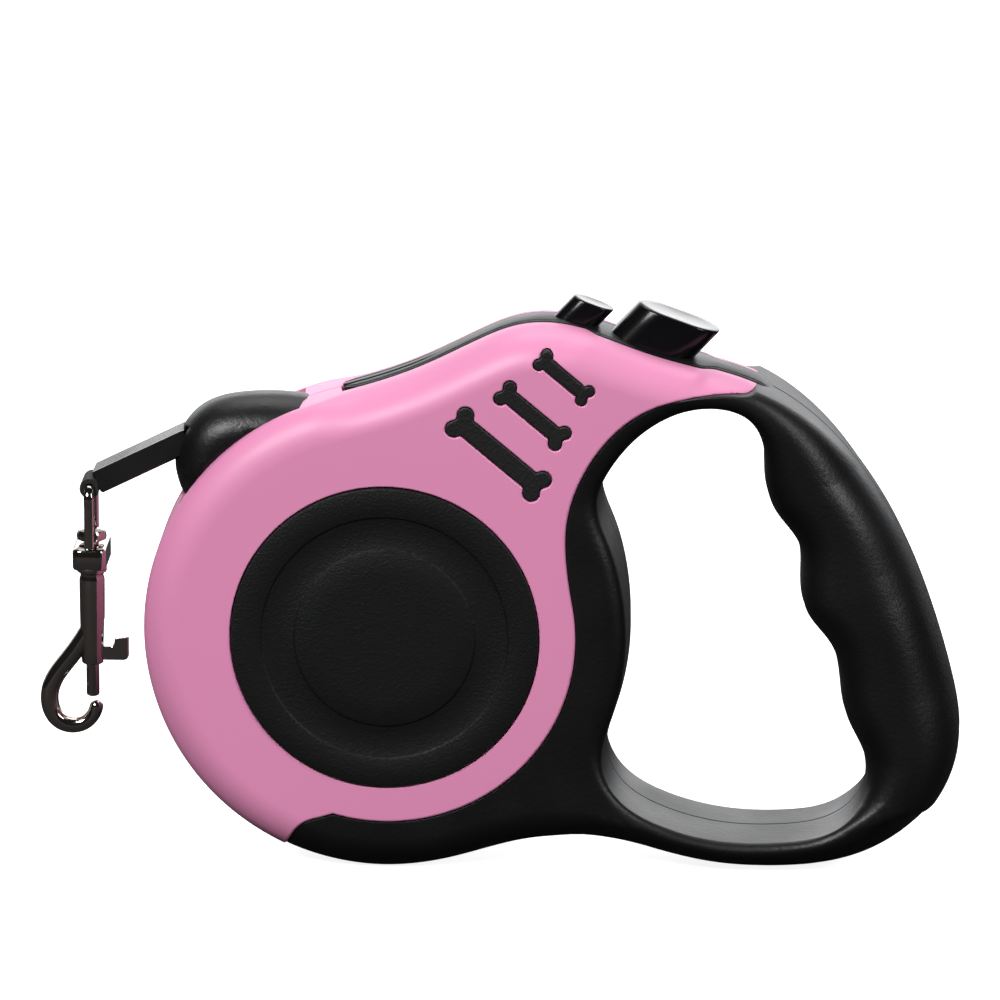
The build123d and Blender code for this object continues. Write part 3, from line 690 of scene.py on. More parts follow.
def dress(thing: bpy.types.Object, finish: Finish, slot: str, body: str, *nodes: str) -> bpy.types.Object:
    """Gives a piece its finish, its body and the CAD nodes it stands for, and reports it.

    Args:
        thing: the piece.
        finish: its finish.
        slot: not used.
        body: the CAD body it rides on, or "" for a piece that rides on none.
        nodes: CAD nodes that it replaces.

    Returns:
        The piece.
    """
    thing.data.materials.clear()
    thing.data.materials.append(finish.material())
    if body:
        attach(thing, body)
    if nodes:
        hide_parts(*nodes)
    log.info("%s: %d faces on %s", thing.name, len(thing.data.polygons), body)
    return thing


def keep_node(name: str, finish: Finish) -> None:
    """Gives a CAD node that stays visible its finish."""
    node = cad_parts[name]
    node.data.materials.clear()
    node.data.materials.append(finish.material())
    log.info("%s: CAD node kept", name)


# ---------------------------------------------------------------- casing


@dataclass
class Casing:
    """The two halves of the shell: pink covers, black grips, discs, bones and the strip on top."""

    shoulder_wide: float = 7.2
    shoulder_drop: float = 5.5
    disc_r: float = 29.1
    cover_r: float = 36.0
    strip_half: float = 4.3
    rim_half: float = 6.6
    edge: float = 0.5  # rounding of the visible edges between pink and black
    pitch: float = 1.7
    bones: tuple[tuple[float, ...], ...] = (
        (21.5, 35.8, 9.5, 4.0, 1.75, 3.5),
        (27.9, 43.3, 6.7, 3.2, 1.42, 2.8),
        (33.8, 50.6, 5.2, 2.8, 1.2, 2.3),
    )
    screws: tuple[tuple[float, float], ...] = ((96, -8), (81, 31), (94.2, -35.4), (36, -33))
    screw_seat: float = 8.2  # floor of the screws' counterbores, from the middle plane
    pit_r: float = 2.5
    outline: Loop = field(init=False)
    hole: Loop = field(init=False)
    cover: Loop = field(init=False)
    disc: Loop = field(init=False)
    bone_loops: list[Loop] = field(init=False)

    def __post_init__(self) -> None:
        """Works out the outlines that the pieces share."""
        drum = [tuple(p) for p in arc(DRUM_R, 113, 268, 19)]
        self.outline = Loop(spline(drum + [
            (12, -44.4), (25, -40.8), (36, -39.9), (47, -41.8), (60, -44.7), (76, -46), (91, -43.1),
            (101.5, -36), (107.4, -26.5), (108.4, -18), (107, -9.5), (103.2, 3.6), (98.4, 16), (92.3, 27),
            (85.3, 36.3), (76.4, 44.1), (67, 48.9), (58, 51.4), (47, 54.6), (39, 57.5), (31.5, 59.1),
            (25, 58.7), (17, 55.6), (6.5, 50.5), (-5, 46.4),
        ], 720, closed=True))
        self.hole = Loop(spline([
            (45.5, 0), (45, -7), (43, -15.5), (41, -24.5), (43.8, -31), (52, -36.4), (63.5, -39.4),
            (75, -39.6), (85, -37.2), (90.6, -30.8), (90.4, -23.5), (87, -16), (85.9, -9), (84, -2.3),
            (79.4, 4), (78.4, 10), (77.8, 17.2), (73.4, 23.5), (71.6, 29), (71.2, 36), (68.5, 42),
            (63, 44.4), (55.5, 43.4), (48.5, 39.4), (42.8, 33), (40, 26), (42.3, 18), (44.7, 9),
        ], 460, closed=True))
        self.cover = Loop(np.vstack([
            even_steps(np.array([(-24, -60), (-19.6, -42.9), (-18.9, -41.0)]), 20, False),
            spline([(-18.6, -40.3), (-17.4, -38.2), (-15.5, -36.4), (-12.6, -35.4), (-9.92, -34.6)], 24)[:-1],
            arc(self.cover_r, 254, 368, 110),
            spline([(35.65, 5.01), (34.2, 15.5), (34.4, 23), (37.2, 31.5), (42, 38.6), (48.5, 43.9),
                        (58, 46.9), (66, 47.3), (69.2, 47.5), (70.4, 48.6), (70.6, 50.5)], 110)[1:],
            np.array([(70.6, 60), (70.6, 75), (0, 75), (-75, 75), (-75, 0), (-75, -60)]),
        ]))
        self.disc = Loop(arc(self.disc_r + 0.15, 0, 358.5, 240))
        self.bone_loops = [self.bone(*b) for b in self.bones]

    @staticmethod
    def bone(u: float, v: float, reach: float, shaft: float, lobe: float, spread: float) -> Loop:
        """One bone: straight shaft sides, two arcs at each end, all softened by a running mean."""
        top = np.radians(np.linspace(180, -50, 24))
        quarter = np.stack([reach + lobe * np.cos(top), spread / 2 + lobe * np.sin(top)], 1)
        quarter = np.vstack([[0, shaft / 2], [reach - lobe - 0.3, shaft / 2], quarter, [reach + lobe * 0.45, 0]])
        half = np.vstack([quarter, (quarter * [1, -1])[::-1][1:]])
        whole = np.vstack([half, half[::-1][1:-1] * [-1, 1]])
        path = even_steps(whole, 200, closed=True)
        reach_of = max(2, int(round(0.42 / (np.linalg.norm(path[1] - path[0])))))
        window = np.arange(-reach_of, reach_of + 1)
        path = np.mean([np.roll(path, k, 0) for k in window], axis=0)
        c, s = math.cos(math.radians(-40)), math.sin(math.radians(-40))
        return Loop(path @ np.array([[c, s], [-s, c]]) + [u, v])

    def press(self, p: Array) -> tuple[Array, Array]:
        """Coordinates q across and s along the buttons' sliding line."""
        return p[:, 0] * PRESS_SIN - p[:, 1] * PRESS_COS, p[:, 0] * PRESS_COS + p[:, 1] * PRESS_SIN

    def cover_height(self, p: Array) -> Array:
        """Pink face: flat, with a soft shoulder to the outline and small edges to the black parts."""
        top = smooth(-14, -4, p[:, 0]) * smooth(34, 38, p[:, 1])
        q, _ = self.press(p)
        top = top * (1 - 0.55 * smooth(-14, -10, q) * (1 - smooth(8, 11, q)))
        drop = self.shoulder_drop + 4.4 * top
        h = COVER_HALF - roll_off(self.outline.distance(p), self.shoulder_wide, drop)
        h = h - roll_off(self.cover.distance(p), self.edge, 0.4)
        for loop in (self.disc, *self.bone_loops):
            h = h - roll_off(loop.distance(p), 0.3, 0.25)
        return h

    def cover_ends(self, p: Array) -> Array:
        """Where the pink walls stop: at the middle plane, the nose, the strip or the buttons' rim."""
        angle = np.degrees(np.arctan2(p[:, 1], p[:, 0]))
        stop = np.full(len(p), SEAM)
        on_strip = (p[:, 0] > -8.5) & (p[:, 0] < 72) & (p[:, 1] > 40)
        stop = np.where(on_strip, self.strip_width(p) + 0.05, stop)
        stop = np.where((angle > 110.5) & (angle < 149) & (p[:, 0] < 0), 8.6, stop)
        return np.where(self.outline.distance(p) > 3.0, 8.0, stop)

    def strip_width(self, p: Array) -> Array:
        """Half width of the black strip: even, and wider as a rim round the brake button."""
        q, s = self.press(p)
        bump = smooth(-12.5, -9.5, q) * (1 - smooth(8.2, 11.2, q)) * (s > 50)
        return self.strip_half + (self.rim_half - self.strip_half) * bump

    def grip_height(self, p: Array) -> Array:
        """Black face.

        The outer rounding is as wide as half the bar, up to a limit that grows towards the hand
        grip, where it is nearly an elliptical section. The opening's edge has its own rounding:
        medium by the drum, small along the bottom, and full where the fingers lie.
        """
        d1, d2 = self.outline.distance(p), self.hole.distance(p)
        bar = d1 + d2
        grip = smooth(58, 78, p[:, 0])
        fingers = smooth(60, 74, p[:, 0]) * smooth(-37, -27, p[:, 1])
        floor = smooth(30, 50, p[:, 0]) * (1 - smooth(-38, -33, p[:, 1]))
        wide = np.minimum(6.7 + 4.2 * grip, (0.52 + 0.3 * floor) * bar)
        drop = np.minimum(wide * (0.95 + 0.25 * grip + 1.1 * floor), 12.3)
        low = (1 - smooth(-32, -18, p[:, 1])) * (1 - fingers)
        inner = np.minimum(3.6 - 1.6 * low + 3.4 * fingers, 0.42 * bar)
        h = GRIP_HALF - 0.5 * grip
        h = h - roll_off(d1, wide, drop) - roll_off(d2, inner, inner * (0.8 + 0.25 * fingers))
        lean = np.clip((d1 - wide) / np.maximum(bar - wide, 0.5), 0, 1)
        h = h - 1.3 * fingers * lean**2
        return h - roll_off(self.cover.distance(p), self.edge, 0.4)

    def rear_height(self, p: Array) -> Array:
        """The rear black face, with a counterbore for each casing screw."""
        h = self.grip_height(p)
        for spot in self.screws:
            pit = np.hypot(*(p - spot).T) < self.pit_r + 0.05
            h = np.where(pit, np.minimum(h, self.screw_seat), h)
        return h

    def build_screws(self) -> None:
        """Round-headed screws with a conical recess in the head, at the bottom of the counterbores."""
        parts = []
        for number, (u, v) in enumerate(self.screws):
            foot = place(np.array([u]), np.array([self.screw_seat]), np.array([v]))[0] / MM
            profile = [(0.02, -16.0), (1.1, -15.8), (1.2, -15.4), (1.2, -0.4), (2.1, -0.3), (2.1, 0.5), (1.9, 0.9),
                       (1.3, 1.15), (0.9, 1.2), (0.55, 0.6), (0.02, 0.5)]
            parts.append(turned(f"screw_{number}", foot, np.array([0.0, 1.0, 0.0]), profile, 36, sharp=35))
        dress(join(parts, "screw_set"), SPRING_STEEL, "spring_steel", "casing", "casing_screws")

    def grip_draft(self, p: Array) -> Array:
        """The opening's walls stand 0.45 mm in at the middle plane; the outer walls are upright."""
        return np.where(self.hole.distance(p) < 0.05, 0.45, 0.0)

    def build(self) -> None:
        """Makes and dresses every piece of the casing."""
        shoulder = fall_steps(self.shoulder_wide, [14, 26, 38, 50, 62, 74, 84, 90])
        edge = [0.04, 0.16, self.edge]

        def pink(p: Array) -> Array:
            """True on the pink face."""
            out = self.outline.inside(p) & self.cover.inside(p) & ~self.disc.inside(p)
            for loop in self.bone_loops:
                out &= ~loop.inside(p)
            return out

        small = [(loop, [-0.03, -0.12, -0.32]) for loop in (self.disc, *self.bone_loops)]
        plan = cut_plan([self.outline, self.cover, self.disc, *self.bone_loops], pink,
                        [(self.outline, shoulder), (self.cover, edge), *small], self.pitch)
        for side in Side:
            name = side.name.lower()
            dress(relief(f"{name}_cover_skin", plan, self.cover_height, side, self.cover_ends),
                  PINK_ABS, "pink_abs", "casing", f"{name}_cover")

        def black(p: Array) -> Array:
            """True on the black face."""
            return self.outline.inside(p) & ~self.cover.inside(p) & ~self.hole.inside(p)

        outer = fall_steps(10.9, [9, 18, 27, 36, 46, 56, 66, 76, 86])
        finger = fall_steps(-7.0, [10, 20, 31, 43, 55, 67, 79, 90])
        pits = [
            Loop(spot + arc(self.pit_r + gap, 0, 350, 36)) for spot in np.array(self.screws) for gap in (0.0, 0.1)
        ]
        plan = cut_plan([self.outline, self.cover, self.hole, *pits], black,
                        [(self.outline, outer), (self.hole, finger), (self.cover, [-x for x in edge])], self.pitch)
        for side in Side:
            name = side.name.lower()
            height = self.rear_height if side is Side.REAR else self.grip_height
            skin = relief(
                f"{name}_grip_skin", plan, height, side, lambda p: np.full(len(p), SEAM), draft=self.grip_draft
            )
            dress(skin, SOFT_BLACK, "black_grip", "casing", f"{name}_grip")
        self.build_screws()
        self.build_discs()
        self.build_bones()
        self.build_strip()

    def build_discs(self) -> None:
        """Round plates with a shallow ring-shaped trough whose edges are fine bevels."""
        r = self.disc_r
        profile = [
            (0.02, 12.4), (r - 0.1, 12.4), (r, 12.6), (r, 14.55), (r - 0.06, 14.78), (r - 0.2, 14.93), (r - 0.45, 15.0),
            (23.62, 15.0), (23.5, 14.96), (23.28, 14.72), (23.15, 14.68), (17.3, 14.68), (17.18, 14.72),
            (16.98, 14.96), (16.86, 15.0), (12.0, 15.0), (6.0, 15.0), (0.02, 15.0),
        ]
        for side in Side:
            centre = np.array([AXIS_X, 0.0, AXIS_Z])
            thing = turned(f"{side.name.lower()}_disc_face", centre, np.array([0.0, float(side.value), 0.0]),
                           profile, 192, sharp=20)
            dress(thing, ERODED_BLACK, "black_textured", "casing", f"{side.name.lower()}_disc")

    def build_bones(self) -> None:
        """Flush inlays with a rounded rim."""
        for side in Side:
            parts = []
            for number, loop in enumerate(self.bone_loops):
                inner = Loop(loop.points - loop.normals() * 0.12)
                plan = cut_plan([inner], inner.inside, [(inner, [0.05, 0.18, 0.4])], 0.8)
                parts.append(relief(f"bone_{side.name.lower()}_{number}", plan,
                                    lambda p, edge=inner: COVER_HALF - 0.05 - roll_off(edge.distance(p), 0.4, 0.3),
                                    side, lambda p: np.full(len(p), 12.6), bevel=0.1))
            thing = join(parts, f"{side.name.lower()}_bone_inlays")
            dress(thing, INLAY_BLACK, "black_inlay", "casing", f"{side.name.lower()}_bones")

    def build_strip(self) -> None:
        """The black strip along the top: a crowned band over the outline, ribbed where it starts."""
        p = self.outline.points
        top = p[(p[:, 0] > -8.6) & (p[:, 0] < 74) & (p[:, 1] > 42)]
        path = even_steps(top[np.argsort(top[:, 0])], 260, closed=False)
        along = np.gradient(path, axis=0)
        along /= np.linalg.norm(along, axis=1)[:, None]
        out = np.stack([-along[:, 1], along[:, 0]], 1)
        run = np.concatenate([[0], np.cumsum(np.linalg.norm(np.diff(path, axis=0), axis=1))])
        taper = np.sqrt(np.clip(1 - np.clip(1 - run / 3.5, 0, 1) ** 2, 0.02, 1))
        half = self.strip_width(path) * taper
        t = np.linspace(-1, 1, 61)
        y = half[:, None] * t
        lift = 0.1 + 0.4 * (1 - t**2) - 0.3 * np.clip((np.abs(t) - 0.93) / 0.07, 0, 1) ** 2 + 0 * y
        fade = (1 - smooth(10, 22, run))[:, None]
        for groove in (-1.35, 1.35):
            lift = lift - 0.4 * fade * np.exp(-(((y - groove) / 0.32) ** 2))
        lift = lift - 0.16 * np.exp(-(((np.abs(y) - half[:, None] + 0.9) / 0.16) ** 2))
        lift = lift - 0.75 * smooth(70.0, 74.0, path[:, 0])[:, None]
        low_y = half[:, None] * np.linspace(1, -1, 9)
        y = np.hstack([y, low_y])
        lift = np.hstack([lift, np.full_like(low_y, -1.4)])
        u = path[:, 0, None] + out[:, 0, None] * lift
        v = path[:, 1, None] + out[:, 1, None] * lift
        thing = ring_object("spine_strip", place(u, y, v), sharp=35)
        dress(thing, SOFT_BLACK, "black_grip", "casing")


def join(parts: list[bpy.types.Object], name: str) -> bpy.types.Object:
    """Several objects as one, with the normals they have."""
    with bpy.context.temp_override(active_object=parts[0], selected_editable_objects=parts):
        bpy.ops.object.join()
    parts[0].name = name
    parts[0].data.name = name
    return parts[0]


# ---------------------------------------------------------------- nose and buttons


@dataclass
class Nose:
    """The black bulb that the tape comes out of, with a slot for it."""

    half: float = 9.0
    round_wide: float = 7.0
    round_drop: float = 8.5
    slot_half: float = 4.5
    slot_thick: float = 4.7
    outline: Loop = field(init=False)
    slot: Loop = field(init=False)

    def __post_init__(self) -> None:
        """The outline is a soft bulb over a base inside the drum; the slot points down the tape."""
        bulb = spline([
            (-12.5, 42.2), (-14.5, 43.2), (-18.2, 43.9), (-22.5, 44.1), (-26.5, 43.9), (-31.0, 43.2),
            (-34.6, 41.8), (-37.2, 39.8), (-39.1, 37.0), (-40.1, 33.9), (-40.5, 30.3), (-40.0, 27.6),
            (-39.0, 25.0), (-37.2, 22.8),
        ], 130)
        base = even_steps(np.array([(-37.0, 22.9), (-27.0, 29.5), (-12.6, 42.0)]), 50, closed=False)
        self.outline = Loop(np.vstack([bulb, base]))
        along, up = np.array([TAPE_COS, TAPE_SIN]), np.array([-TAPE_SIN, TAPE_COS])
        end = np.array(SLEEVE_END) + SLEEVE_LONG * along
        half = self.slot_thick / 2
        corners = [end - 6 * along - half * up, end + 4 * along - half * up, end + 4 * along + half * up,
                   end - 6 * along + half * up]
        self.slot = Loop(even_steps(np.array(corners), 80, closed=True))

    def height(self, p: Array) -> Array:
        """The bulb's face: a long rounding outside the drum, and none along the hidden base."""
        hidden = np.hypot(p[:, 0], p[:, 1]) < 43.5
        wall = roll_off(self.outline.distance(p), self.round_wide, self.round_drop)
        return self.half - np.where(hidden & (p[:, 0] > -34), np.minimum(wall, 1.0), wall)

    def build(self) -> None:
        """Makes the bulb's two halves and joins them."""
        contour = self.round_wide * (1 - math.sqrt(1 - ((self.half - self.slot_half - 0.2) / self.round_drop - 1) ** 2))
        rings = fall_steps(self.round_wide, [12, 24, 36, 48, 60, 72, 84])

        def body(p: Array) -> Array:
            """True in the bulb, less the rim in front of the slot."""
            rim = self.slot.inside(p) & (self.outline.distance(p) < contour)
            return self.outline.inside(p) & ~rim

        inset = Loop(self.outline.ring(contour))
        plan = cut_plan([self.outline, self.slot, inset], body, [(self.outline, rings)], 0.9)

        def ends(p: Array) -> Array:
            """The halves meet at the middle plane, except in the slot."""
            return np.where(self.slot.inside(p) | (self.slot.distance(p) < 1e-4), self.slot_half, 0.0)

        parts = [relief(f"nose_{side.name.lower()}", plan, self.height, side, ends, bevel=0.02) for side in Side]
        dress(join(parts, "nose_bulb"), SOFT_BLACK, "black_inlay", "casing", "nose_guide")


@dataclass
class Button:
    """A push button whose prism slides along a slanted line; q runs across it and s along it."""

    name: str
    q: tuple[float, float]
    half: float
    corner: float
    base: tuple[float, float]  # s of the foot at both ends of q
    top: tuple[float, float]  # s of the top at both ends of q
    stem: tuple[float, float, float]  # q of the stem, its radius, and s of its end
    edge: float = 0.55
    dish: float = 0.25
    flange: float = 0.4

    def ring(self, inset: float, base: tuple[float, float], lift: float, size: float = 1.0) -> Array:
        """One ring of the button's wall, at a height that runs between the two values."""
        mid, wide = (self.q[0] + self.q[1]) / 2, (self.q[1] - self.q[0]) / 2
        shape = round_rectangle(wide - inset, self.half - inset, max(self.corner - inset, 0.3), 96) * size
        t = (shape[:, 0] + wide) / (2 * wide)
        s = base[0] + (base[1] - base[0]) * t + lift
        q = shape[:, 0] + mid
        return place(q * PRESS_SIN + s * PRESS_COS, shape[:, 1], -q * PRESS_COS + s * PRESS_SIN)

    def build(self) -> None:
        """Foot flange, wall, rounded edge and faintly dished top, then the stem."""
        low = self.base
        rings = [
            self.ring(-self.flange, low, -0.2), self.ring(-self.flange, low, 0.3), self.ring(0.0, low, 0.35),
        ]
        rings += [self.ring(0.0, tuple(a + (b - a) * t for a, b in zip(low, self.top)), -self.edge)
                  for t in (0.35, 0.7, 1.0)]
        for angle in np.radians([22, 45, 68, 90]):
            rings.append(self.ring(self.edge * (1 - math.cos(angle)), self.top, -self.edge * (1 - math.sin(angle))))
        for size in (0.8, 0.6, 0.4, 0.2, 0.02):
            rings.append(self.ring(self.edge, self.top, -self.dish * (1 - size**2), size))
        head = ring_object(f"{self.name}_head", np.array(rings), sharp=35)
        q, radius, end = self.stem
        start = min(low) + 3.0
        foot = np.array([AXIS_X + q * PRESS_SIN + end * PRESS_COS, 0.0, AXIS_Z - q * PRESS_COS + end * PRESS_SIN])
        tall = start - end
        profile = [(0.02, 0.0), (radius - 0.3, 0.0), (radius, 0.3), (radius, tall), (0.02, tall)]
        shaft = turned(f"{self.name}_stem", foot, np.array([PRESS_COS, 0.0, PRESS_SIN]), profile, 32)
        shaft.data.materials.clear()
        dress(join([head, shaft], f"{self.name}_skin"), GLOSS_BLACK, "gloss_black", self.name.split("_")[0], self.name)


# ---------------------------------------------------------------- tape end and snap hook


@dataclass
class TapeEnd:
    """The stiff sleeve at the tape's end."""

    start: tuple[float, float] = SLEEVE_END
    long: float = 19.6  # a little of it is inside the nose
    half_thick: float = 2.2
    half_wide: float = 4.3
    bevel: float = 0.35
    grooves: tuple[float, ...] = (-2.3, -0.8, 0.8, 2.3)

    def build_tape(self) -> None:
        """The run of tape from over the winding, round the guide and into the sleeve.
        """
        far = np.array(self.start) + np.array([TAPE_COS, TAPE_SIN]) * (self.long - 4.0)
        bend = np.array([far[0] + (TAPE_LINE - far[1]) / TAPE_SIN * TAPE_COS, TAPE_LINE])
        level = [(u, TAPE_LINE) for u in (-3.0, -9.0, bend[0] + 3.0)]
        down = [tuple(bend - [1.0, 0.25]), tuple(bend + (far - bend) * 0.4), tuple(far)]
        track = spline(level + down, 160)
        along = np.gradient(track, axis=0)
        along /= np.linalg.norm(along, axis=1)[:, None]
        section = round_rectangle(4.0, 0.5, 0.3, 32)
        spot = track[:, None, :] + section[:, 1, None] * np.stack([-along[:, 1], along[:, 0]], 1)[:, None, :]
        rings = place(spot[..., 0], np.broadcast_to(section[:, 0], spot.shape[:2]), spot[..., 1])
        thing = dress(ring_object("tape_run", rings, sharp=50), BLACK_TAPE, "tape", "", "tape_lead")
        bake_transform(thing)

    def build(self) -> None:
        """A bar with bevelled edges and fine grooves along its top and underside."""
        along, up = np.array([TAPE_COS, TAPE_SIN]), np.array([-TAPE_SIN, TAPE_COS])
        wide, thick, b = self.half_wide, self.half_thick, self.bevel
        top = [(-wide + b, thick)]
        for g in self.grooves:
            top += [(g - 0.22, thick), (g - 0.1, thick - 0.18), (g + 0.1, thick - 0.18), (g + 0.22, thick)]
        top += [(wide - b, thick), (wide, thick - b)]
        half = np.array(top)
        section = np.vstack([half, half * [-1, -1]])
        rings = []
        for run, shrink in ((0.0, 0.86), (0.25, 0.97), (0.6, 1.0), (self.long - 0.6, 1.0), (self.long - 0.2, 0.97),
                            (self.long, 0.9)):
            base = np.array(self.start) + along * run
            spot = base + section[:, 1, None] * shrink * up
            rings.append(place(spot[:, 0], section[:, 0] * shrink, spot[:, 1]))
        thing = ring_object("sleeve_bar", np.array(rings), sharp=30)
        dress(thing, SLEEVE_BLACK, "sleeve", "tape_end", "tape_end_sleeve")


@dataclass
class SnapHook:
    """The nickel-plated hook body, its swivelling eye and the spring bolt."""

    u: float = -56.6
    path: tuple[tuple[float, float], ...] = (
        (-0.6, -2.6), (-1.8, -4.6), (-4.8, -8.8), (-7.7, -13.2), (-8.2, -17.6), (-6.6, -20.6), (-4.0, -21.6),
        (-1.4, -20.9), (0.3, -18.9), (0.85, -16.6),
    )

    def build_hook(self) -> None:
        """Barrel with a collar, two rings and a waist, and the hook that grows out of its side."""
        axis = np.array([AXIS_X + self.u, 0.0, AXIS_Z])
        profile = [
            (1.6, 9.85), (2.5, 9.85), (2.75, 9.7), (2.85, 9.45), (2.85, 8.95), (2.75, 8.7), (2.45, 8.55),
            (2.25, 8.3), (2.2, 7.9), (2.35, 7.6), (2.42, 7.2), (2.42, 5.0), (2.4, 2.0), (2.36, -1.0), (2.3, -4.0),
            (2.2, -7.0), (2.15, -8.7), (2.05, -9.1), (1.8, -9.3), (1.45, -9.3), (1.45, 6.9), (0.02, 7.0),
        ]
        barrel = turned("barrel", axis, np.array([0.0, 0.0, 1.0]), profile[::-1], 64, sharp=35)
        self.cut_slot(barrel)
        track = spline(self.path, 90)
        run = np.linspace(0, 1, 90)
        size = 1.72 - 0.42 * smooth(0.5, 1.0, run)
        size = size * np.sqrt(np.clip(1 - np.clip((run - 0.965) / 0.035, 0, 0.99) ** 2, 0.01, 1))
        line = np.stack([track[:, 0] + self.u + AXIS_X, np.zeros(90), track[:, 1] + AXIS_Z], 1)
        rings = planar_tube(line, np.array([0.0, 1.0, 0.0]), size, size * 1.02, 2.2, 28)
        crook = ring_object("crook", rings * MM, sharp=60)
        dress(join([barrel, crook], "hook_casting"), NICKEL, "nickel", "hook", "hook_body")

    def cut_slot(self, barrel: bpy.types.Object) -> None:
        """Cuts the upright slot that the thumb tab slides in."""
        u, y = np.array([1.0, 3.6, 3.6, 1.0]) + self.u, np.array([-0.95, -0.95, 0.95, 0.95])
        rings = np.array([place(u, y, np.full(4, v)) for v in (-8.85, -0.6)])
        cutter = ring_object("slot_cutter", rings)
        step = barrel.modifiers.new("slot", "BOOLEAN")
        step.operation, step.solver, step.object = "DIFFERENCE", "EXACT", cutter
        bpy.context.view_layer.update()
        shape = bpy.data.meshes.new_from_object(barrel.evaluated_get(bpy.context.evaluated_depsgraph_get()))
        barrel.modifiers.clear()
        barrel.data = shape
        bpy.data.objects.remove(cutter)
        shape.polygons.foreach_set("use_smooth", np.ones(len(shape.polygons), bool))
        shape.set_sharp_from_angle(angle=math.radians(35))

    def build_eye(self) -> None:
        """A stirrup bent round the tape's loop, its feet in a bevelled hub that turns on the rivet."""
        x = AXIS_X + self.u
        corner = [(-5.5, 12.0), (-5.5, 18.0), (-5.5, 22.5), (-5.2, 24.4), (-3.9, 25.55), (-2.0, 25.7), (2.0, 25.7),
                  (3.9, 25.55), (5.2, 24.4), (5.5, 22.5), (5.5, 18.0), (5.5, 12.0)]
        track = spline(corner, 120)
        line = np.stack([np.full(120, x), track[:, 0], track[:, 1] + AXIS_Z], 1)
        bar = smooth(22.0, 25.0, track[:, 1])
        stirrup = ring_object("stirrup", planar_tube(line, np.array([1.0, 0.0, 0.0]), 0.62 + 0.38 * bar,
                                                     0.92 + 0.08 * bar, 2.6, 28) * MM, sharp=60)
        rings = []
        for v, inset in ((10.2, 0.5), (10.35, 0.2), (10.7, 0.0), (13.9, 0.0), (14.25, 0.2), (14.4, 0.5)):
            shape = round_rectangle(3.2 - inset, 6.75 - inset, 1.5 - inset, 72)
            rings.append(np.stack([shape[:, 0] + x, shape[:, 1], np.full(72, v + AXIS_Z)], 1))
        hub = ring_object("hub", np.array(rings) * MM, sharp=60)
        dress(join([stirrup, hub], "eye_stirrup"), NICKEL, "nickel", "eye", "swivel_eye")

    def build_rivet(self) -> None:
        """The rivet's rounded head and its stem down into the barrel."""
        axis = np.array([AXIS_X + self.u, 0.0, AXIS_Z])
        head = turned("rivet_head", axis, np.array([0.0, 0.0, 1.0]),
                      [(0.02, 9.8), (1.5, 9.8), (1.5, 14.9), (2.45, 14.9), (2.75, 15.1), (2.85, 15.5), (2.8, 16.2),
                       (2.5, 16.8), (1.9, 17.05), (0.02, 17.1)], 48)
        dress(head, NICKEL, "nickel", "hook", "swivel_rivet")

    def build_bolt(self) -> None:
        """The pin, and the thumb tab as a bevelled plate out through the slot."""
        axis = np.array([AXIS_X + self.u, 0.0, AXIS_Z])
        pin = turned("pin", axis, np.array([0.0, 0.0, 1.0]),
                     [(0.02, -15.7), (0.85, -15.7), (1.15, -15.5), (1.25, -15.2), (1.25, -1.0), (0.02, -1.0)], 40)
        corner = np.array([(0, -8.6), (6.0, -8.6), (6.6, -8.4), (6.9, -7.9), (6.9, -4.3), (6.6, -3.95), (4.6, -4.2),
                           (4.25, -4.5), (4.1, -5.6), (3.7, -5.9), (0, -5.9)]) + [self.u, 0]
        outline = Loop(even_steps(corner, 120, closed=True))
        plan = cut_plan([outline], outline.inside, [(outline, [0.08, 0.25])], 0.6)
        tab = relief("tab", plan, lambda p: 0.78 - roll_off(outline.distance(p), 0.25, 0.25), Side.FRONT)
        dress(join([pin, tab], "bolt_pin"), NICKEL, "nickel", "hook_bolt", "bolt")


@dataclass(frozen=True)
class Spring:
    """A helical spring between two bodies."""

    name: str
    foot: tuple[float, float]  # (u, v) of the lower end
    lean: tuple[float, float]  # unit direction of the axis
    long: float
    radius: float
    wire: float
    turns: float
    low_body: str
    high_body: str

    def build(self) -> None:
        """Rings of wire along the helix, standing between the two bodies."""
        count = int(self.turns * 36)
        turn = np.linspace(0, 2 * math.pi * self.turns, count)
        rise = np.linspace(self.wire / 2, self.long - self.wire / 2, count)
        axis = np.array([self.lean[0], 0.0, self.lean[1]])
        side, other = np.array([self.lean[1], 0.0, -self.lean[0]]), np.array([0.0, 1.0, 0.0])
        spoke = np.cos(turn)[:, None] * side + np.sin(turn)[:, None] * other
        foot = np.array([self.foot[0] + AXIS_X, 0.0, self.foot[1] + AXIS_Z])
        line = foot + rise[:, None] * axis + self.radius * spoke
        section = superellipse(self.wire / 2, self.wire / 2, 2.0, 8)
        rings = line[:, None] + section[:, 0, None] * spoke[:, None] + section[:, 1, None] * axis
        thing = dress(ring_object(f"{self.name}_coil", rings * MM, sharp=60), SPRING_STEEL, "spring_steel",
                      "", self.name)
        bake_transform(thing)


# ---------------------------------------------------------------- pieces kept from the CAD


KEPT: dict[str, Finish] = {
    "tape_end_loop": BLACK_TAPE,
    "wound_tape": BLACK_TAPE,
    "clock_spring": SPRING_STEEL,
    "axle_screws": SPRING_STEEL,
    "axle_post": SLEEVE_BLACK,
    "reel": ACETAL,
    "reel_cover": ACETAL,
}


# ---------------------------------------------------------------- studio


